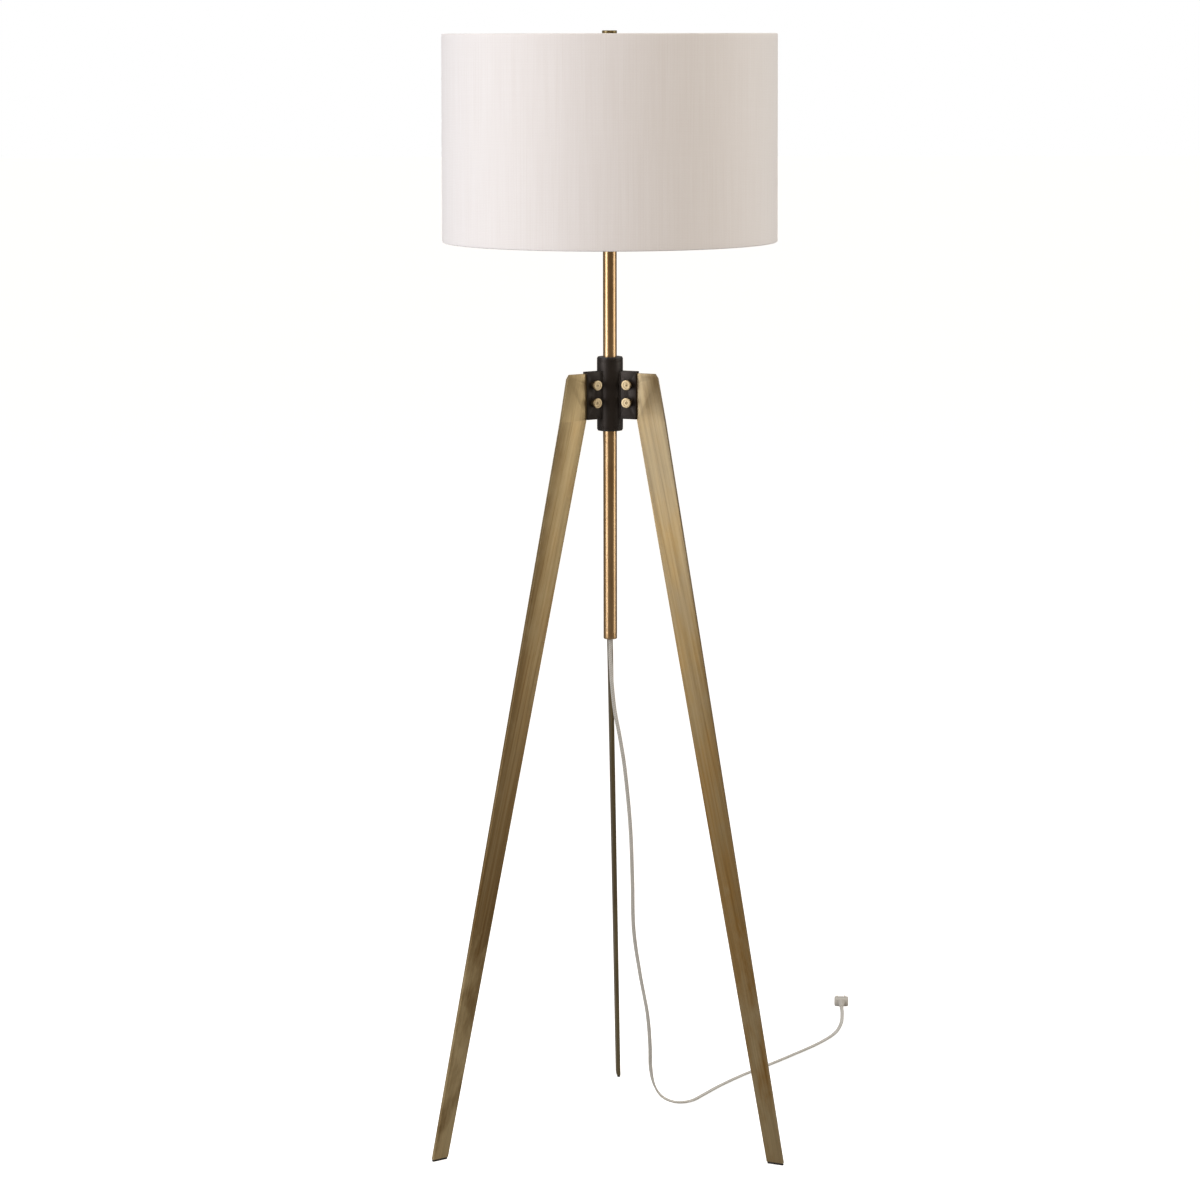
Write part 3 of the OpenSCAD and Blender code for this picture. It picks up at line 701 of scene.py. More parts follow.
def arc(centre: tuple[float, float], radius: float, start_deg: float, end_deg: float,
        steps: int = 6) -> list[tuple[float, float]]:
    """Returns points along an arc in the lathe's plane."""
    angles = [math.radians(start_deg + (end_deg - start_deg) * i / steps) for i in range(steps + 1)]
    return [(centre[0] + radius * math.cos(a), centre[1] + radius * math.sin(a)) for a in angles]


def mirrored(point: Vector) -> Vector:
    """Returns a point's mirror image on the other side of the lamp's middle plane."""
    return Vector((-point.x, point.y, point.z))


def smooth_line(points: Sequence[Vector], steps: int) -> list[Vector]:
    """Returns points along a smooth curve through a list of points.

    Args:
        points: What the curve passes through.
        steps: Points on each stretch.
    """
    ends = [2 * points[0] - points[1], *points, 2 * points[-1] - points[-2]]
    line = []
    for a, b, c, d in zip(ends, ends[1:], ends[2:], ends[3:]):
        for i in range(steps):
            t = i / steps
            line.append(0.5 * (2 * b + (c - a) * t + (2 * a - 5 * b + 4 * c - d) * t * t
                               + (3 * b - a - 3 * c + d) * t ** 3))
    line.append(points[-1].copy())
    return line


def line_length(line: Sequence[Vector]) -> float:
    """Returns the length of a line of points."""
    return sum((b - a).length for a, b in zip(line, line[1:]))


def sweep(line: Sequence[Vector], sides: Sequence[Vector],
          section: Sequence[tuple[float, float]]) -> bmesh.types.BMesh:
    """Sweeps a closed section along a line.

    Args:
        line: The centre of each ring.
        sides: The direction of the section's first axis at each ring.
        section: The section's points, in metres.

    Returns:
        A closed bmesh with a UV map, round and along in metres.
    """
    mesh = bmesh.new()
    layer = mesh.loops.layers.uv.new(UV_NAME)
    rings, along, round_at = [], [0.0], [0.0]
    for a, b in zip(line, line[1:]):
        along.append(along[-1] + (b - a).length)
    closed = [*section, section[0]]
    for a, b in zip(closed, closed[1:]):
        round_at.append(round_at[-1] + math.dist(a, b))
    for i, centre in enumerate(line):
        heading = (line[min(i + 1, len(line) - 1)] - line[max(i - 1, 0)]).normalized()
        side = (sides[i] - heading * sides[i].dot(heading)).normalized()
        up = heading.cross(side)
        rings.append([mesh.verts.new(centre + side * u + up * v) for u, v in section])
    count = len(section)
    for i in range(len(rings) - 1):
        for j in range(count):
            k = (j + 1) % count
            face = mesh.faces.new((rings[i][j], rings[i][k], rings[i + 1][k], rings[i + 1][j]))
            places = ((j, i), (j + 1, i), (j + 1, i + 1), (j, i + 1))
            for loop, (r, a) in zip(face.loops, places):
                loop[layer].uv = (round_at[r], along[a])
    mesh.faces.new(rings[0][::-1])
    mesh.faces.new(rings[-1])
    bmesh.ops.recalc_face_normals(mesh, faces=mesh.faces)
    return mesh


def swept_rod(line: Sequence[Vector], radius: float, count: int) -> bmesh.types.BMesh:
    """Returns a round rod along a line.

    Args:
        line: The centre of each ring.
        radius: The rod's radius.
        count: Faces round it.
    """
    section = arc((0, 0), radius, 0, 360, count)[:-1]
    side = Vector((0, 0, 1)).cross(line[-1] - line[0])
    if side.length < 1e-6:
        side = Vector((0, 1, 0))
    return sweep(line, [side.normalized()] * len(line), section)


def paint_uv(mesh: bmesh.types.BMesh, place: Callable[[Vector], tuple[float, float]]) -> None:
    """Writes a UV map in metres.

    Args:
        mesh: The shape.
        place: Gives a point's two coordinates.
    """
    layer = mesh.loops.layers.uv.get(UV_NAME) or mesh.loops.layers.uv.new(UV_NAME)
    for face in mesh.faces:
        for loop in face.loops:
            loop[layer].uv = place(loop.vert.co)


def dress_node(node: str, finish: Finish) -> None:
    """Gives a CAD node a finish."""
    data = bpy.data.objects[node].data
    data.materials.clear()
    data.materials.append(finish.material())


@dataclass
class Builder:
    """What every sub-assembly shares: the body that its pieces ride on, and their table."""

    body: str
    slots: dict[str, str]

    def settle(self, piece: bpy.types.Object, finish: Finish, node: str,
               *replaced: str) -> bpy.types.Object:
        """Dresses a new piece and puts it on its body.

        Args:
            piece: The new piece.
            finish: Its finish.
            node: The CAD node that it stands for or goes with. It is not used.
            replaced: The CAD nodes that it replaces.

        Returns:
            The piece.
        """
        piece.data.materials.append(finish.material())
        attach(piece, self.body)
        if replaced:
            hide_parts(*replaced)
        LOG.info("%s rides on %s, %d faces", piece.name, self.body, len(piece.data.polygons))
        return piece

    def eased(self, name: str, node: str, finish: Finish, width: float, segments: int = 2,
              over_deg: float = 50.0, smooth_deg: float = 35.0) -> bpy.types.Object:
        """Puts a copy of a CAD node, with its edges rounded, in the node's place.

        Args:
            name: The new piece's name.
            node: The CAD node.
            finish: Its finish.
            width: How far the rounding reaches from each edge, in metres.
            segments: Faces across the rounding.
            over_deg: Only edges that turn by more than this are rounded.
            smooth_deg: Edges that turn by more than this stay crisp.

        Returns:
            The piece.
        """
        mesh = merged_copy(node)
        soften(mesh, width, segments, over_deg)
        return self.settle(to_object(name, mesh, smooth_deg), finish, node, node)


def middle(node: str) -> Vector:
    """Returns the middle of a CAD node's box."""
    low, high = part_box(node)
    return (low + high) / 2


def half_width(node: str) -> float:
    """Returns half of a CAD node's size along X."""
    low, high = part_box(node)
    return (high.x - low.x) / 2


def radius_near(node: str, z: float, reach: float) -> float:
    """Returns the largest distance from the pole's axis of a node's points near a height."""
    points = [v.co for v in bpy.data.objects[node].data.vertices if abs(v.co.z - z) < reach]
    return max(math.hypot(p.x, p.y) for p in points)


# ---------------------------------------------------------------------------------------
# Stand: sleeve, brackets, legs and bolts
# ---------------------------------------------------------------------------------------


@dataclass
class Stand(Builder):
    """The sleeve with its brackets, and the three bars bolted to them."""

    clamp_axis: Vector
    sleeve_bore: float = 13 * MM
    groove: float = 0.2 * MM
    pole_gap: float = 0.05 * MM
    half_stack: float = 5.5 * MM
    weld: float = 1.3 * MM
    leg_head: float = 55 * MM
    leg_edge: float = 0.45 * MM
    bolt_reach: float = 30.8 * MM
    head: float = 7 * MM
    head_t: float = 3 * MM
    collar: float = 4.75 * MM
    collar_l: float = 6.5 * MM
    shank: float = 3 * MM
    nut_t: float = 3 * MM
    names: ClassVar[tuple[str, ...]] = ("right", "rear", "left")
    # Each leg has its own copy of the colours, made lighter or darker as painted light for how the
    # lights reach that leg
    leg_colours_with_painted_light: ClassVar[dict[str, tuple[str, str, str, str]]] = {
        "right": ("#9b8a6b", "#8f7549", "#997338", "#b9a37a"),
        "rear": ("#857858", "#6e6043", "#685a40", "#8f8262"),
        "left": ("#a8946c", "#8a7047", "#8a6b3c", "#dcc493"),
    }

    def bearing(self, name: str) -> float:
        """Returns a bracket's bearing about the pole, in radians."""
        clamp = math.atan2(self.clamp_axis.y, self.clamp_axis.x)
        return clamp + math.radians(120 * self.names.index(name) - 60)

    def axes(self, name: str) -> tuple[Vector, Vector]:
        """Returns the level ways out along a bracket and across it."""
        turn = self.bearing(name)
        return (Vector((math.cos(turn), math.sin(turn), 0)),
                Vector((-math.sin(turn), math.cos(turn), 0)))

    def build(self) -> None:
        """Builds and dresses the whole stand."""
        self.sleeve()
        for name in self.names:
            self.leg(name)
            self.bracket(name)
            self.bolts(name)
            self.foot(name)
            self.nuts(name)

    def sleeve(self) -> None:
        """Builds the sleeve with rounded ends, and its two bushes."""
        low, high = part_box("hub_sleeve")
        outer, bore, lip, cut = half_width("hub_sleeve"), self.sleeve_bore, 0.35 * MM, self.groove
        top, bottom = high.z, low.z
        profile = [(bore, bottom), (outer - lip, bottom)]
        profile += arc((outer - lip, bottom + lip), lip, -90, 0)
        for z in (bottom + 2.6 * MM, bottom + 4.2 * MM, top - 4.8 * MM, top - 3.2 * MM):
            profile += [(outer, z), (outer - cut, z + cut), (outer - cut, z + 2 * cut),
                        (outer, z + 3 * cut)]
        profile += arc((outer - lip, top - lip), lip, 0, 90)
        profile += [(bore, top), (bore, bottom)]
        mesh = lathe(profile, steps=96)
        self.settle(to_object("sleeve", mesh), Coating.BLACK.value, "hub_sleeve", "hub_sleeve")
        for node in ("sleeve_bush_upper", "sleeve_bush_lower"):
            self.bush(node)

    def bush(self, node: str) -> None:
        """Builds one flanged bush.

        Args:
            node: Its CAD node.
        """
        low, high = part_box(node)
        flange = half_width(node)
        sleeve_low, sleeve_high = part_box("hub_sleeve")
        upper = high.z > sleeve_high.z
        end, seat, tail = (high.z, sleeve_high.z, low.z) if upper else (low.z, sleeve_low.z, high.z)
        way = 1 if upper else -1
        bore = half_width("pole") + self.pole_gap
        lip = 0.25 * MM
        profile = [(bore, tail), (bore, end - way * lip), (bore + lip, end), (flange - lip, end),
                   (flange, end - way * lip), (flange, seat), (self.sleeve_bore, seat),
                   (self.sleeve_bore, tail), (bore, tail)]
        mesh = lathe(profile, steps=72)
        self.settle(to_object(node + "_turned", mesh), Coating.NYLON.value, node, node)

    def leg(self, name: str) -> None:
        """Builds one bar with softened edges, and maps it across and along.

        Args:
            name: Which leg.
        """
        node = "leg_" + name
        mesh = merged_copy(node)
        low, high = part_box(node)
        soften(mesh, self.leg_edge, 2, 50)
        out, aside = self.axes(name)
        foot = middle("foot_pad_" + name)
        head = out * self.leg_head + Vector((0, 0, high.z))
        along = (foot - head).normalized()
        across = (out - along * out.dot(along)).normalized()
        # Each bar starts at its own place in the pattern, so that no two are alike
        start = 0.37 * self.names.index(name)
        paint_uv(mesh, lambda p: (across.dot(p) + aside.dot(p), start + along.dot(p - head)))
        # Each leg's material carries that leg's painted light in its colours
        finish = AntiqueBrass("antique_brass_" + name, *self.leg_colours_with_painted_light[name], low.z, high.z)
        self.settle(to_object("bar_" + name, mesh), finish, node, node)

    def bracket(self, name: str) -> None:
        """Builds a pair of bracket plates with eased edges and their weld beads.

        Args:
            name: Which bracket.
        """
        self.eased("plates_" + name, "bracket_" + name, Coating.BLACK.value, 0.35 * MM)
        self.welds(name)

    def welds(self, name: str) -> None:
        """Builds the weld bead along each plate's foot on the sleeve.

        Args:
            name: Which bracket.
        """
        low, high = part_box("bracket_" + name)
        reach = math.sqrt(half_width("hub_sleeve") ** 2 - self.half_stack ** 2)
        beads = []
        for side in (-1, 1):
            place = Matrix.Rotation(self.bearing(name), 4, "Z") @ Matrix.Translation(
                (reach, side * self.half_stack, (low.z + high.z) / 2))
            bead = bmesh.new()
            bmesh.ops.create_cone(bead, cap_ends=True, segments=12, radius1=self.weld,
                                  radius2=self.weld, depth=high.z - low.z - 1.4 * MM)
            bmesh.ops.bevel(bead, geom=[e for e in bead.edges if e.calc_face_angle(0) > 1],
                            offset=0.8 * MM, segments=3, profile=0.5, affect="EDGES", material=-1)
            bmesh.ops.transform(bead, matrix=place, verts=bead.verts)
            beads.append(bead)
        mesh = joined(beads)
        self.settle(to_object("welds_" + name, mesh), Coating.BLACK.value, "bracket_" + name)

    def bolt_places(self, name: str) -> list[Matrix]:
        """Returns the place of each bolt of a leg: z runs from the plate out through its head.

        Args:
            name: Which leg.
        """
        low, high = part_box("leg_bolts_" + name)
        out, aside = self.axes(name)
        outward = aside if (low + high).dot(aside) > 0 else -aside
        frame = Matrix((out, outward.cross(out), outward)).transposed().to_4x4()
        return [Matrix.Translation(out * self.bolt_reach + Vector((0, 0, z))) @ frame
                for z in (low.z + self.head, high.z - self.head)]

    def bolts(self, name: str) -> None:
        """Builds a leg's two bolts: shank, collar and a round head with a ring and a dimple.

        Args:
            name: Which leg.
        """
        node = "leg_bolts_" + name
        stack, shank, head = self.half_stack, self.shank, self.head
        tail, base = -stack - self.nut_t, stack + self.collar_l
        face = base + self.head_t
        lip, ease = 0.5 * MM, 0.3 * MM
        profile = [(0, tail), (shank - ease, tail), (shank, tail + ease), (shank, stack),
                   (self.collar, stack), (self.collar, base), (head - lip, base)]
        profile += arc((head - lip, base + lip), lip, -90, 0, 4)
        profile += arc((head - lip, face - lip), lip, 0, 90, 4)
        profile += [(4.6 * MM, face), (4.3 * MM, face - 0.5 * MM), (2.6 * MM, face - 0.5 * MM),
                    (2.3 * MM, face - 0.1 * MM), (1.6 * MM, face - 0.1 * MM)]
        profile += arc((0, face + 0.4 * MM), 1.3 * MM, -20, -90, 4)
        mesh = joined(lathe(profile, place, 48) for place in self.bolt_places(name))
        self.settle(to_object("bolts_" + name, mesh), Metal.TURNED.value, node, node)

    def nuts(self, name: str) -> None:
        """Softens and dresses a leg's two cap nuts.

        Args:
            name: Which leg.
        """
        self.eased("domed_nuts_" + name, "cap_nuts_" + name, Metal.TURNED.value, 0.25 * MM,
                   over_deg=45, smooth_deg=30)

    def foot(self, name: str) -> None:
        """Softens and dresses one rubber foot pad.

        Args:
            name: Which foot.
        """
        self.eased("pad_" + name, "foot_pad_" + name, Coating.RUBBER.value, 0.5 * MM, 3)


@dataclass
class Clamp(Builder):
    """The knurled screw at the back of the sleeve."""

    def build(self) -> None:
        """Softens and dresses the screw."""
        self.eased("thumb_screw", "clamp_screw", Coating.BLACK.value, 0.3 * MM, over_deg=60)


# ---------------------------------------------------------------------------------------
# Pole, harp, socket and bulb
# ---------------------------------------------------------------------------------------


@dataclass
class Pole(Builder):
    """The pole and what it carries inside the shade."""

    wall: float = 1.2 * MM
    cord_hole: float = 3.25 * MM
    cap_neck: float = 8.3 * MM
    cap_round: float = 1.6 * MM
    harp_straight: float = 28 * MM
    bulb_neck: float = 11.5 * MM

    def build(self) -> None:
        """Builds the visible pieces and dresses the hidden ones."""
        self.tube()
        self.end_cap()
        self.harp()
        self.bulb()
        self.socket()
        self.hidden()

    def tube(self) -> None:
        """Builds the pole's tube with an eased lower end."""
        low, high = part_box("pole")
        outer, ease = half_width("pole"), 0.25 * MM
        inner = outer - self.wall
        profile = [(inner, low.z), (outer - ease, low.z), (outer, low.z + ease),
                   (outer, high.z), (inner, high.z), (inner, low.z)]
        piece = to_object("pole_tube", lathe(profile, steps=96))
        self.settle(piece, Metal.POLE.value, "pole", "pole")

    def end_cap(self) -> None:
        """Builds the pole's end cap, rounded at its rim, with the cord's hole."""
        low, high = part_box("pole_end_cap")
        pole_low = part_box("pole")[0].z
        outer, bore, neck = half_width("pole_end_cap"), self.cord_hole, self.cap_neck
        lip = self.cap_round
        profile = [(bore, low.z + 0.6 * MM), (bore + 0.6 * MM, low.z), (outer - lip, low.z)]
        profile += arc((outer - lip, low.z + lip), lip, -90, 0)
        groove = pole_low - 0.5 * MM
        profile += [(outer, groove), (outer - 0.35 * MM, groove + 0.2 * MM),
                    (outer - 0.35 * MM, pole_low), (neck, pole_low), (neck, high.z),
                    (bore, high.z), (bore, low.z + 0.6 * MM)]
        piece = to_object("turned_end_cap", lathe(profile, steps=96))
        self.settle(piece, Metal.POLE.value, "pole_end_cap", "pole_end_cap")

    def harp(self) -> None:
        """Builds the harp's wire as one smooth bent rod."""
        low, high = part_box("harp_wire")
        radius = (high.y - low.y) / 2
        foot_x = abs(middle("ferrule_left").x)
        half_w = half_width("harp_wire") - radius
        top = high.z - radius
        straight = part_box("ferrule_left")[0].z + self.harp_straight
        mid = top - (top - straight) / (1 + math.sin(math.radians(50)))
        bow = []
        for i in range(27):
            a = math.radians(-40 + i * 10)
            x = math.copysign(half_w * abs(math.cos(a)) ** 0.8, math.cos(a))
            bow.append(Vector((x, 0, mid + (top - mid) * math.sin(a))))
        start = Vector((foot_x, 0, straight - 2 * MM))
        # The first point only keeps the wire upright where its bend starts, and is cut off
        lead = [Vector((bow[0].x, 0, 2 * start.z - bow[0].z)), start]
        bow = smooth_line([*lead, *bow, *(mirrored(p) for p in reversed(lead))], 3)[3:-3]
        foot = Vector((foot_x, 0, low.z))
        mesh = swept_rod([foot, *bow, mirrored(foot)], radius * 0.985, 16)
        rod = to_object("harp_rod", mesh, 60)
        self.settle(rod, Metal.ZINC.value, "harp_wire", "harp_wire")

    def bulb(self) -> None:
        """Builds the bulb's glass as one smooth blown shape."""
        low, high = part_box("bulb_glass")
        ball = half_width("bulb_glass")
        neck = self.bulb_neck
        ball_z = high.z - ball
        span = (ball_z - low.z) * 0.66
        profile = [(0, low.z), (neck, low.z)]
        for i in range(1, 10):
            t = i / 10
            share = (1 - math.cos(math.pi * t)) / 2
            profile.append((neck + (ball * 0.93 - neck) * share, low.z + span * t))
        profile += arc((0, ball_z), ball, -22, 90, 18)
        profile[-1] = (0, high.z)
        piece = to_object("blown_glass", lathe(profile), 60)
        self.settle(piece, Coating.GLASS.value, "bulb_glass", "bulb_glass")

    def socket(self) -> None:
        """Dresses the socket's shell and its inner pieces."""
        for node in ("socket_cap", "socket_shell"):
            piece = to_object(node + "_spun", merged_copy(node))
            self.settle(piece, Metal.BRIGHT.value, node, node)
        dress_node("shell_insulator", Coating.FIBRE.value)
        dress_node("socket_core", Coating.PHENOLIC.value)
        for node in ("centre_contact", "terminal_screws"):
            dress_node(node, Metal.BRIGHT.value)
        for node in ("screw_shell", "bulb_base"):
            dress_node(node, Metal.SHEET.value)

    def hidden(self) -> None:
        """Dresses the plug, nipple, nut, stud, saddle and the cord in the pole."""
        for node in ("pole_top_plug", "threaded_nipple", "saddle_locknut", "harp_stud"):
            dress_node(node, Metal.ZINC.value)
        self.eased("bent_saddle", "harp_saddle", Metal.ZINC.value, 0.3 * MM)
        dress_node("cord_in_pole", Coating.PLUG.value)


@dataclass
class Ferrule(Builder):
    """One sliding ferrule on the harp's ends."""

    node: str
    bore: float = 2.1 * MM
    ease: float = 0.4 * MM

    def build(self) -> None:
        """Builds the ferrule with eased ends."""
        low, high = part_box(self.node)
        outer, bore, lip = half_width(self.node), self.bore, self.ease
        length = high.z - low.z
        profile = [(bore, 0), (outer - lip, 0), (outer, lip), (outer, length - lip),
                   (outer - lip, length), (bore, length), (bore, 0)]
        mesh = lathe(profile, Matrix.Translation((middle(self.node).x, 0, low.z)), 40)
        self.settle(to_object(self.node + "_sleeve", mesh), Metal.ZINC.value, self.node, self.node)


@dataclass
class Switch(Builder):
    """The socket's turn switch."""

    def build(self) -> None:
        """Softens the fluted knob and dresses its stem."""
        self.eased("fluted_knob", "switch_knob", Coating.PHENOLIC.value, 0.2 * MM, over_deg=60)
        dress_node("switch_stem", Metal.BRIGHT.value)


# ---------------------------------------------------------------------------------------
# Shade and finial
# ---------------------------------------------------------------------------------------


@dataclass
class Shade(Builder):
    """The drum: fabric rolled over two rings, its liner and its spider."""

    fabric: float = 0.8 * MM
    liner: float = 0.6 * MM
    overlap: float = 12 * MM
    tuck: float = 2 * MM
    rim_round: float = 1.1 * MM
    rim_reach: float = 4.6 * MM
    ripple: float = 0.05 * MM
    columns: int = 360
    rows: int = 40
    stud_hole: float = 3.25 * MM
    arm: float = 1.45 * MM
    low: float = field(init=False)
    high: float = field(init=False)
    bottom_r: float = field(init=False)
    top_r: float = field(init=False)

    def __post_init__(self) -> None:
        """Reads the drum's heights and radii from the frame."""
        self.low, self.high = (corner.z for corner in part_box("shade_fabric"))
        self.bottom_r = radius_near("shade_fabric", self.low, MM)
        self.top_r = radius_near("shade_fabric", self.high, MM)

    def build(self) -> None:
        """Builds the fabric, the liner, the rings and the spider."""
        self.cloth()
        self.backing()
        self.rings()
        self.spider()

    def radius(self, z: float) -> float:
        """Returns the drum's outer radius at a height."""
        share = (z - self.low) / (self.high - self.low)
        return self.bottom_r + (self.top_r - self.bottom_r) * share

    def outline(self) -> list[tuple[float, float, float]]:
        """Returns the cloth's section from its tuck at the bottom to its tuck at the top.

        Each point is how far it lies inside the drum's outer face, its height, and its
        distance along the cloth.
        """
        turn, depth = self.rim_round, self.rim_reach
        folds = []
        for rim, way in ((self.low, 1), (self.high, -1)):
            fold = [(depth, rim + way * (turn + self.tuck))]
            fold += [(x, rim + way * (turn - h)) for x, h in arc((depth - turn, 0), turn, 0, 90, 5)]
            fold += [(x, rim + way * (turn - h)) for x, h in arc((turn, 0), turn, 90, 180, 5)]
            folds.append(fold)
        lower, upper = folds
        rise = upper[-1][1] - lower[-1][1]
        wall = [(0.0, lower[-1][1] + rise * i / self.rows) for i in range(1, self.rows)]
        points = lower + wall + upper[::-1]
        section, along = [], 0.0
        for before, point in zip([points[0], *points], points):
            along += math.dist(before, point)
            section.append((*point, along))
        return section

    def cloth(self) -> None:
        """Wraps the cloth round the drum as one strip that laps over itself at the back."""
        section = self.outline()
        mesh = bmesh.new()
        layer = mesh.loops.layers.uv.new(UV_NAME)
        lap = self.overlap / self.bottom_r
        wall = self.fabric * 0.9
        start = math.pi / 2 - lap / 2
        columns = []
        for i in range(self.columns + 1):
            share = i / self.columns
            angle = start + share * (math.tau + lap)
            # The strip's end climbs on to its own start
            past = angle - start - math.tau + lap * 1.2
            lift = wall * min(1.0, max(0.0, past / (lap * 0.6)))
            column = []
            for inset, z, along in section:
                ripple = self.ripple * math.sin(angle * 47 + z * 30) * math.sin(angle * 19)
                r = self.radius(z) - inset - self.fabric + lift + ripple
                column.append((mesh.verts.new((r * math.cos(angle), r * math.sin(angle), z)),
                               (share * (math.tau + lap) * self.bottom_r, along)))
            columns.append(column)
        for left, right in zip(columns, columns[1:]):
            for j in range(len(section) - 1):
                corners = (left[j], right[j], right[j + 1], left[j + 1])
                face = mesh.faces.new([vert for vert, _ in corners])
                for loop, (_, uv) in zip(face.loops, corners):
                    loop[layer].uv = uv
        cloth = to_object("linen_cover", mesh, 180)
        thick = cloth.modifiers.new("cloth thickness", "SOLIDIFY")
        thick.thickness = wall
        thick.offset = 1.0
        self.settle(cloth, Coating.LINEN.value, "shade_fabric", "shade_fabric")

    def backing(self) -> None:
        """Builds the liner as a smooth thin wall."""
        wall, short, gap = self.liner * 0.9, 0.6 * MM, 0.1 * MM
        low, high = self.low + short, self.high - short
        outer_low, outer_high = (self.radius(z) - self.fabric - gap for z in (low, high))
        profile = [(outer_low, low), (outer_high, high), (outer_high - wall, high),
                   (outer_low - wall, low), (outer_low, low)]
        piece = to_object("styrene_wall", lathe(profile, steps=240))
        self.settle(piece, Coating.LINER.value, "shade_liner", "shade_liner")

    def rings(self) -> None:
        """Builds both rings as smooth wire."""
        for node in ("shade_ring_top", "shade_ring_bottom"):
            low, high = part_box(node)
            wire, z = (high.z - low.z) / 2, middle(node).z
            centre = radius_near(node, z, 0.3 * MM) - wire
            piece = to_object(node + "_wire", lathe(arc((centre, z), wire, 0, 360, 16), steps=160))
            self.settle(piece, Metal.DIPPED.value, node, node)

    def spider(self) -> None:
        """Builds the spider: three bent arms welded to a pressed washer."""
        low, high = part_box("spider_washer")
        stud, lip, rim, dish = self.stud_hole, 0.5 * MM, 6.5 * MM, 0.3 * MM
        washer = half_width("spider_washer")
        profile = [(stud, low.z), (washer - lip, low.z), (washer, low.z + lip),
                   (washer, high.z - lip), (washer - lip, high.z), (rim, high.z),
                   (rim - dish, high.z - dish), (stud, high.z - dish), (stud, low.z)]
        piece = to_object("pressed_washer", lathe(profile, steps=48))
        self.settle(piece, Metal.DIPPED.value, "spider_washer", "spider_washer")
        ring_z = middle("shade_ring_top").z
        reach = radius_near("shade_ring_top", ring_z, 0.3 * MM) - 1.7 * MM
        arm_z = (low.z + high.z) / 2
        arms = []
        for i in range(3):
            angle = math.pi / 2 + i * math.tau / 3
            out = Vector((math.cos(angle), math.sin(angle), 0))
            line = [out * r + Vector((0, 0, z)) for r, z in (
                (washer - 2.5 * MM, arm_z), (washer + 8 * MM, arm_z),
                (reach * 0.5, (arm_z + ring_z) / 2), (reach - 12 * MM, ring_z - 0.3 * MM),
                (reach - 1.2 * MM, ring_z))]
            arms.append(swept_rod(smooth_line(line, 6), self.arm, 12))
        piece = to_object("bent_arms", joined(arms), 60)
        self.settle(piece, Metal.DIPPED.value, "spider_arms", "spider_arms")


@dataclass
class Finial(Builder):
    """The turned disc that holds the shade on the harp."""

    bore: float = 3.25 * MM
    bore_l: float = 9 * MM
    collar: float = 6 * MM
    collar_l: float = 4.5 * MM
    rim: float = 0.9 * MM

    def build(self) -> None:
        """Builds the finial with a stepped collar and a softly domed disc."""
        low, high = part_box("finial")
        disc = half_width("finial")
        bore, collar, lip = self.bore, self.collar, self.rim
        step, hole_top = low.z + self.collar_l, low.z + self.bore_l
        profile = [(0, hole_top), (bore, hole_top), (bore, low.z), (collar - 0.4 * MM, low.z),
                   (collar, low.z + 0.4 * MM), (collar, step - 1.2 * MM),
                   (collar + 0.8 * MM, step - 0.5 * MM), (collar + 1.6 * MM, step),
                   (disc - lip, step)]
        profile += arc((disc - lip, step + lip), lip, -90, 0, 5)
        profile += arc((disc - lip, high.z - lip), lip, 0, 90, 5)
        profile += [(disc - 2.2 * MM, high.z), (disc - 2.5 * MM, high.z - 0.3 * MM),
                    (disc - 2.8 * MM, high.z), (0, high.z)]
        mesh = lathe(profile, steps=72)
        self.settle(to_object("turned_finial", mesh), Metal.AGED.value, "finial", "finial")


# ---------------------------------------------------------------------------------------
# Cord and plug
# ---------------------------------------------------------------------------------------


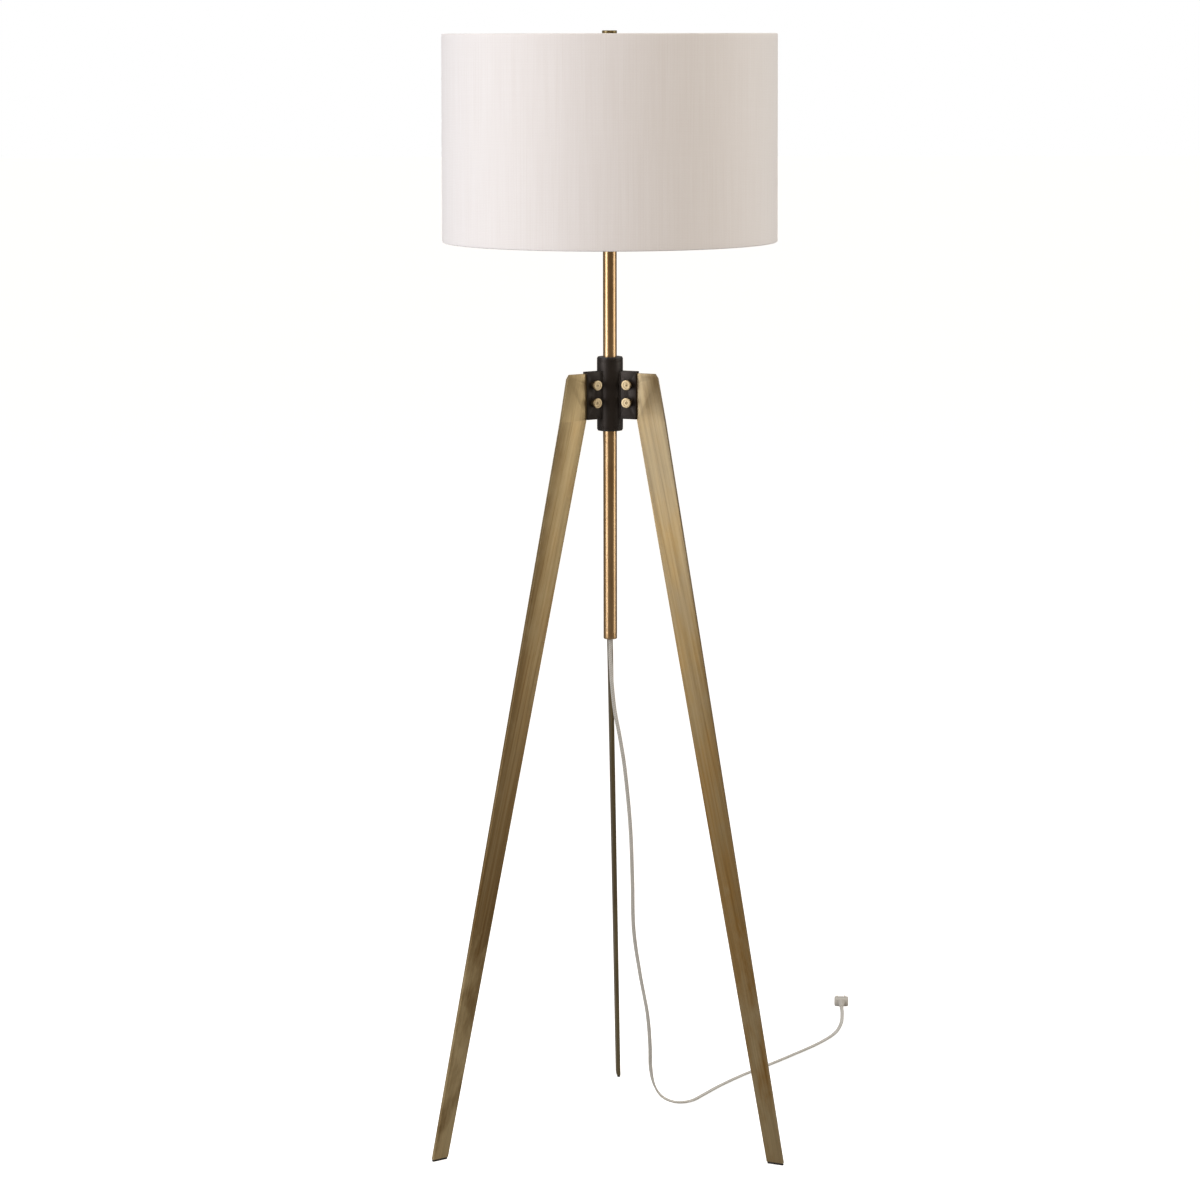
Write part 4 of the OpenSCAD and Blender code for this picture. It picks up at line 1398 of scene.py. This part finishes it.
@dataclass
class Cord(Builder):
    """The clear twin flex that leaves the pole's end and lies on the floor, and its plug."""

    pole_body: str = "pole"
    diameter: float = 5.5 * MM
    thick: float = 3.1 * MM
    resting_mm: float = 3.0
    landing: float = 0.76
    steps: int = 10

    def route(self) -> list[Vector]:
        """Returns the points of the cord's route, from the pole's end to the plug."""
        low = self.resting_mm
        points = [
            (0, 0, 717), (0, 0, 704), (0, 0, 690), (2, 0, 655), (6, 2, 615),
            (14, 7, 570), (21, 16, 520), (28, 32, 440), (31, 50, 360),
            (33, 69, 280), (42, 87, 210), (53, 103, 145), (57, 115, 95),
            (58, 124, 58), (63, 129, 30), (75, 129, 11), (95, 124, 4),
            (118, 134, low), (138, 165, low), (162, 206, low), (199, 260, low),
            (240, 311, low), (282, 366, low), (322, 422, low), (350, 474, low),
            (364, 526, low), (370, 580, low), (372, 625, low),
        ]
        return [Vector(p) * MM for p in points]

    def build(self) -> None:
        line = smooth_line(self.route(), self.steps)
        flex = self.flex(line)
        plug = self.plug()
        blades = self.blades()
        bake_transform(flex)
        LOG.info("cord is %.3f m long", line_length(line))

    def flex(self, line: list[Vector]) -> bpy.types.Object:
        """Builds the flat twin flex: two round cores side by side in one jacket.

        Args:
            line: Its centre line.

        Returns:
            The flex.
        """
        lobe = self.thick / 2
        off = self.diameter / 2 - lobe
        section = arc((off, 0), lobe, -115, 115, 7) + arc((-off, 0), lobe, 65, 295, 7)
        sides, done = [], 0.0
        for i, point in enumerate(line):
            if i:
                done += (point - line[i - 1]).length
            ahead = line[min(i + 1, len(line) - 1)] - line[max(i - 1, 0)]
            level = Vector((ahead.y, -ahead.x, 0))
            level = level.normalized() if level.length > 1e-9 else Vector((1, 0, 0))
            # The flat side faces the front where it hangs, and turns flat as it lands
            share = min(1.0, done / self.landing)
            share = share * share * (3 - 2 * share)
            sides.append((Vector((1, 0, 0)) * (1 - share) + level * share).normalized())
        flex = to_object("twin_flex", sweep(line, sides, section), 80)
        flex.data.materials.append(Coating.FLEX.value.material())
        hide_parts("cord")
        return flex

    def plug(self) -> bpy.types.Object:
        """Smooths the plug's body, with its finger grips, and returns it."""
        piece = to_object("moulded_plug", merged_copy("plug_body", 2), 45)
        return self.settle(piece, Coating.PLUG.value, "plug_body", "plug_body")

    def blades(self) -> bpy.types.Object:
        """Builds the plug's blades with eased edges, and returns them as one piece."""
        return self.eased("brass_blades", "plug_blades", Metal.BRIGHT.value, 0.3 * MM)


# ---------------------------------------------------------------------------------------
# Studio
# ---------------------------------------------------------------------------------------


@dataclass
class Studio:
    """Floor, soft light and camera."""

    distance: float = 4.7
    height: float = 1.548
    pitch_deg: float = 9.38
    pan_deg: float = -0.175
    roll_deg: float = -0.11
    lens_mm: float = 102.4
    sensor_mm: float = 36.0
    floor_m: float = 40.0
    aim: tuple[float, float, float] = (0, 0, 0.95)
    # Linear colours of the surround in front of the lamp, at its sides and behind it
    surround: tuple[tuple[float, tuple[float, float, float, float]], ...] = (
        (0.0, (0.23, 0.155, 0.07, 1)), (0.5, (0.3, 0.28, 0.26, 1)), (1.0, (0.62, 0.6, 0.58, 1)))
    # Name, place, width and height, power and colour of each light
    lights: tuple[tuple, ...] = (
        ("key_light", (-2.6, -1.5, 1.5), (1.5, 2.9), 70, "#f6f8ff"),
        ("fill_light", (2.98, -0.52, 1.5), (1.5, 2.9), 36, "#fffdfa"),
        ("front_light", (0.9, -3.0, 3.5), (1.8, 1.8), 34, "#fff6f0"),
        ("top_light", (0.1, 0.4, 3.9), (2.2, 2.2), 14, "#fffdf8"))

    def build(self) -> None:
        """Builds the studio."""
        self.camera()
        self.floor()
        self.world()
        for light in self.lights:
            self.softbox(*light)
        settings = bpy.context.scene.view_settings
        settings.view_transform = "Standard"
        settings.look = "None"

    def camera(self) -> None:
        """Puts the camera where the whole lamp fits from the front, a little above."""
        data = bpy.data.cameras.new("camera")
        data.lens = self.lens_mm
        data.sensor_width = self.sensor_mm
        data.clip_end = 2.5 * self.floor_m
        camera = bpy.data.objects.new("camera", data)
        bpy.context.scene.collection.objects.link(camera)
        aim = Matrix.Rotation(math.radians(-self.pan_deg), 4, "Z")
        tilt = Matrix.Rotation(math.radians(90 - self.pitch_deg), 4, "X")
        roll = Matrix.Rotation(math.radians(self.roll_deg), 4, "Z")
        place = Matrix.Translation((0, -self.distance, self.height))
        camera.matrix_world = place @ aim @ tilt @ roll
        bpy.context.scene.camera = camera

    def floor(self) -> None:
        """Lays a wide plain floor."""
        mesh = bmesh.new()
        bmesh.ops.create_grid(mesh, x_segments=1, y_segments=1, size=self.floor_m)
        floor = to_object("studio_floor", mesh)
        floor.data.materials.append(Coating.PAPER.value.material())
        floor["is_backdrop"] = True

    def world(self) -> None:
        """Sets a white backdrop, and the dim warm surround that the lamp reflects."""
        world = bpy.data.worlds.new("soft surround")
        world.use_nodes = True
        tree = world.node_tree
        tree.nodes.clear()
        way = add(tree, "TexCoord").outputs["Generated"]
        depth = add(tree, "SeparateXYZ", Vector=way).outputs["Y"]
        behind = add(tree, "MapRange", From_Min=-1.0, Value=depth)
        surround = add(tree, "ValToRGB", {"stops": self.surround}, Fac=behind)
        seen = add(tree, "LightPath").outputs["Is Camera Ray"]
        colour = add(tree, "Mix", {"data_type": "RGBA"}, in0=seen, in6=surround, in7=grey(1.0))
        shade = add(tree, "Background", Strength=1.0, Color=colour.outputs[2])
        add(tree, "OutputWorld", Surface=shade)
        bpy.context.scene.world = world

    def softbox(self, name: str, place: Iterable[float], size: tuple[float, float],
                power: float, colour: str) -> None:
        """Adds a soft light that faces the lamp.

        Args:
            name: The light's name.
            place: Where it stands.
            size: Its width and height, in metres.
            power: Its power, in watts.
            colour: Its colour.
        """
        data = bpy.data.lights.new(name, "AREA")
        data.shape = "RECTANGLE"
        data.size, data.size_y = size
        data.energy = power
        data.color = linear(colour)[:3]
        light = bpy.data.objects.new(name, data)
        bpy.context.scene.collection.objects.link(light)
        light.location = Vector(place)
        way = Vector(self.aim) - light.location
        light.rotation_euler = way.to_track_quat("-Z", "Y").to_euler()


# ---------------------------------------------------------------------------------------
# Building it all
# ---------------------------------------------------------------------------------------


def corners(bounds: Iterable) -> list[list[float]]:
    """Returns a box's two corners as plain lists."""
    return [[float(x) for x in corner] for corner in bounds]


def main() -> None:
    """Builds the lamp and its studio."""
    logging.basicConfig(level=logging.INFO, format="%(name)s: %(message)s")
    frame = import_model()
    cad_box = corners(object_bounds())
    slots = {row["node"]: row["material_slot"] for row in frame["record"]["subparts"]}
    axes = {joint["name"]: Vector(joint["axis"]) for joint in frame["joints"]}
    Studio().build()
    Cord("stand", slots).build()
    Stand("stand", slots, axes["clamp_turn"]).build()
    Clamp("clamp", slots).build()
    Pole("pole", slots).build()
    for node in ("ferrule_left", "ferrule_right"):
        Ferrule(node, slots, node).build()
    Switch("switch", slots).build()
    Shade("shade", slots).build()
    Finial("finial", slots).build()
    {"cad": cad_box, "visual": corners(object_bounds())}


if __name__ == "__main__":
    main()
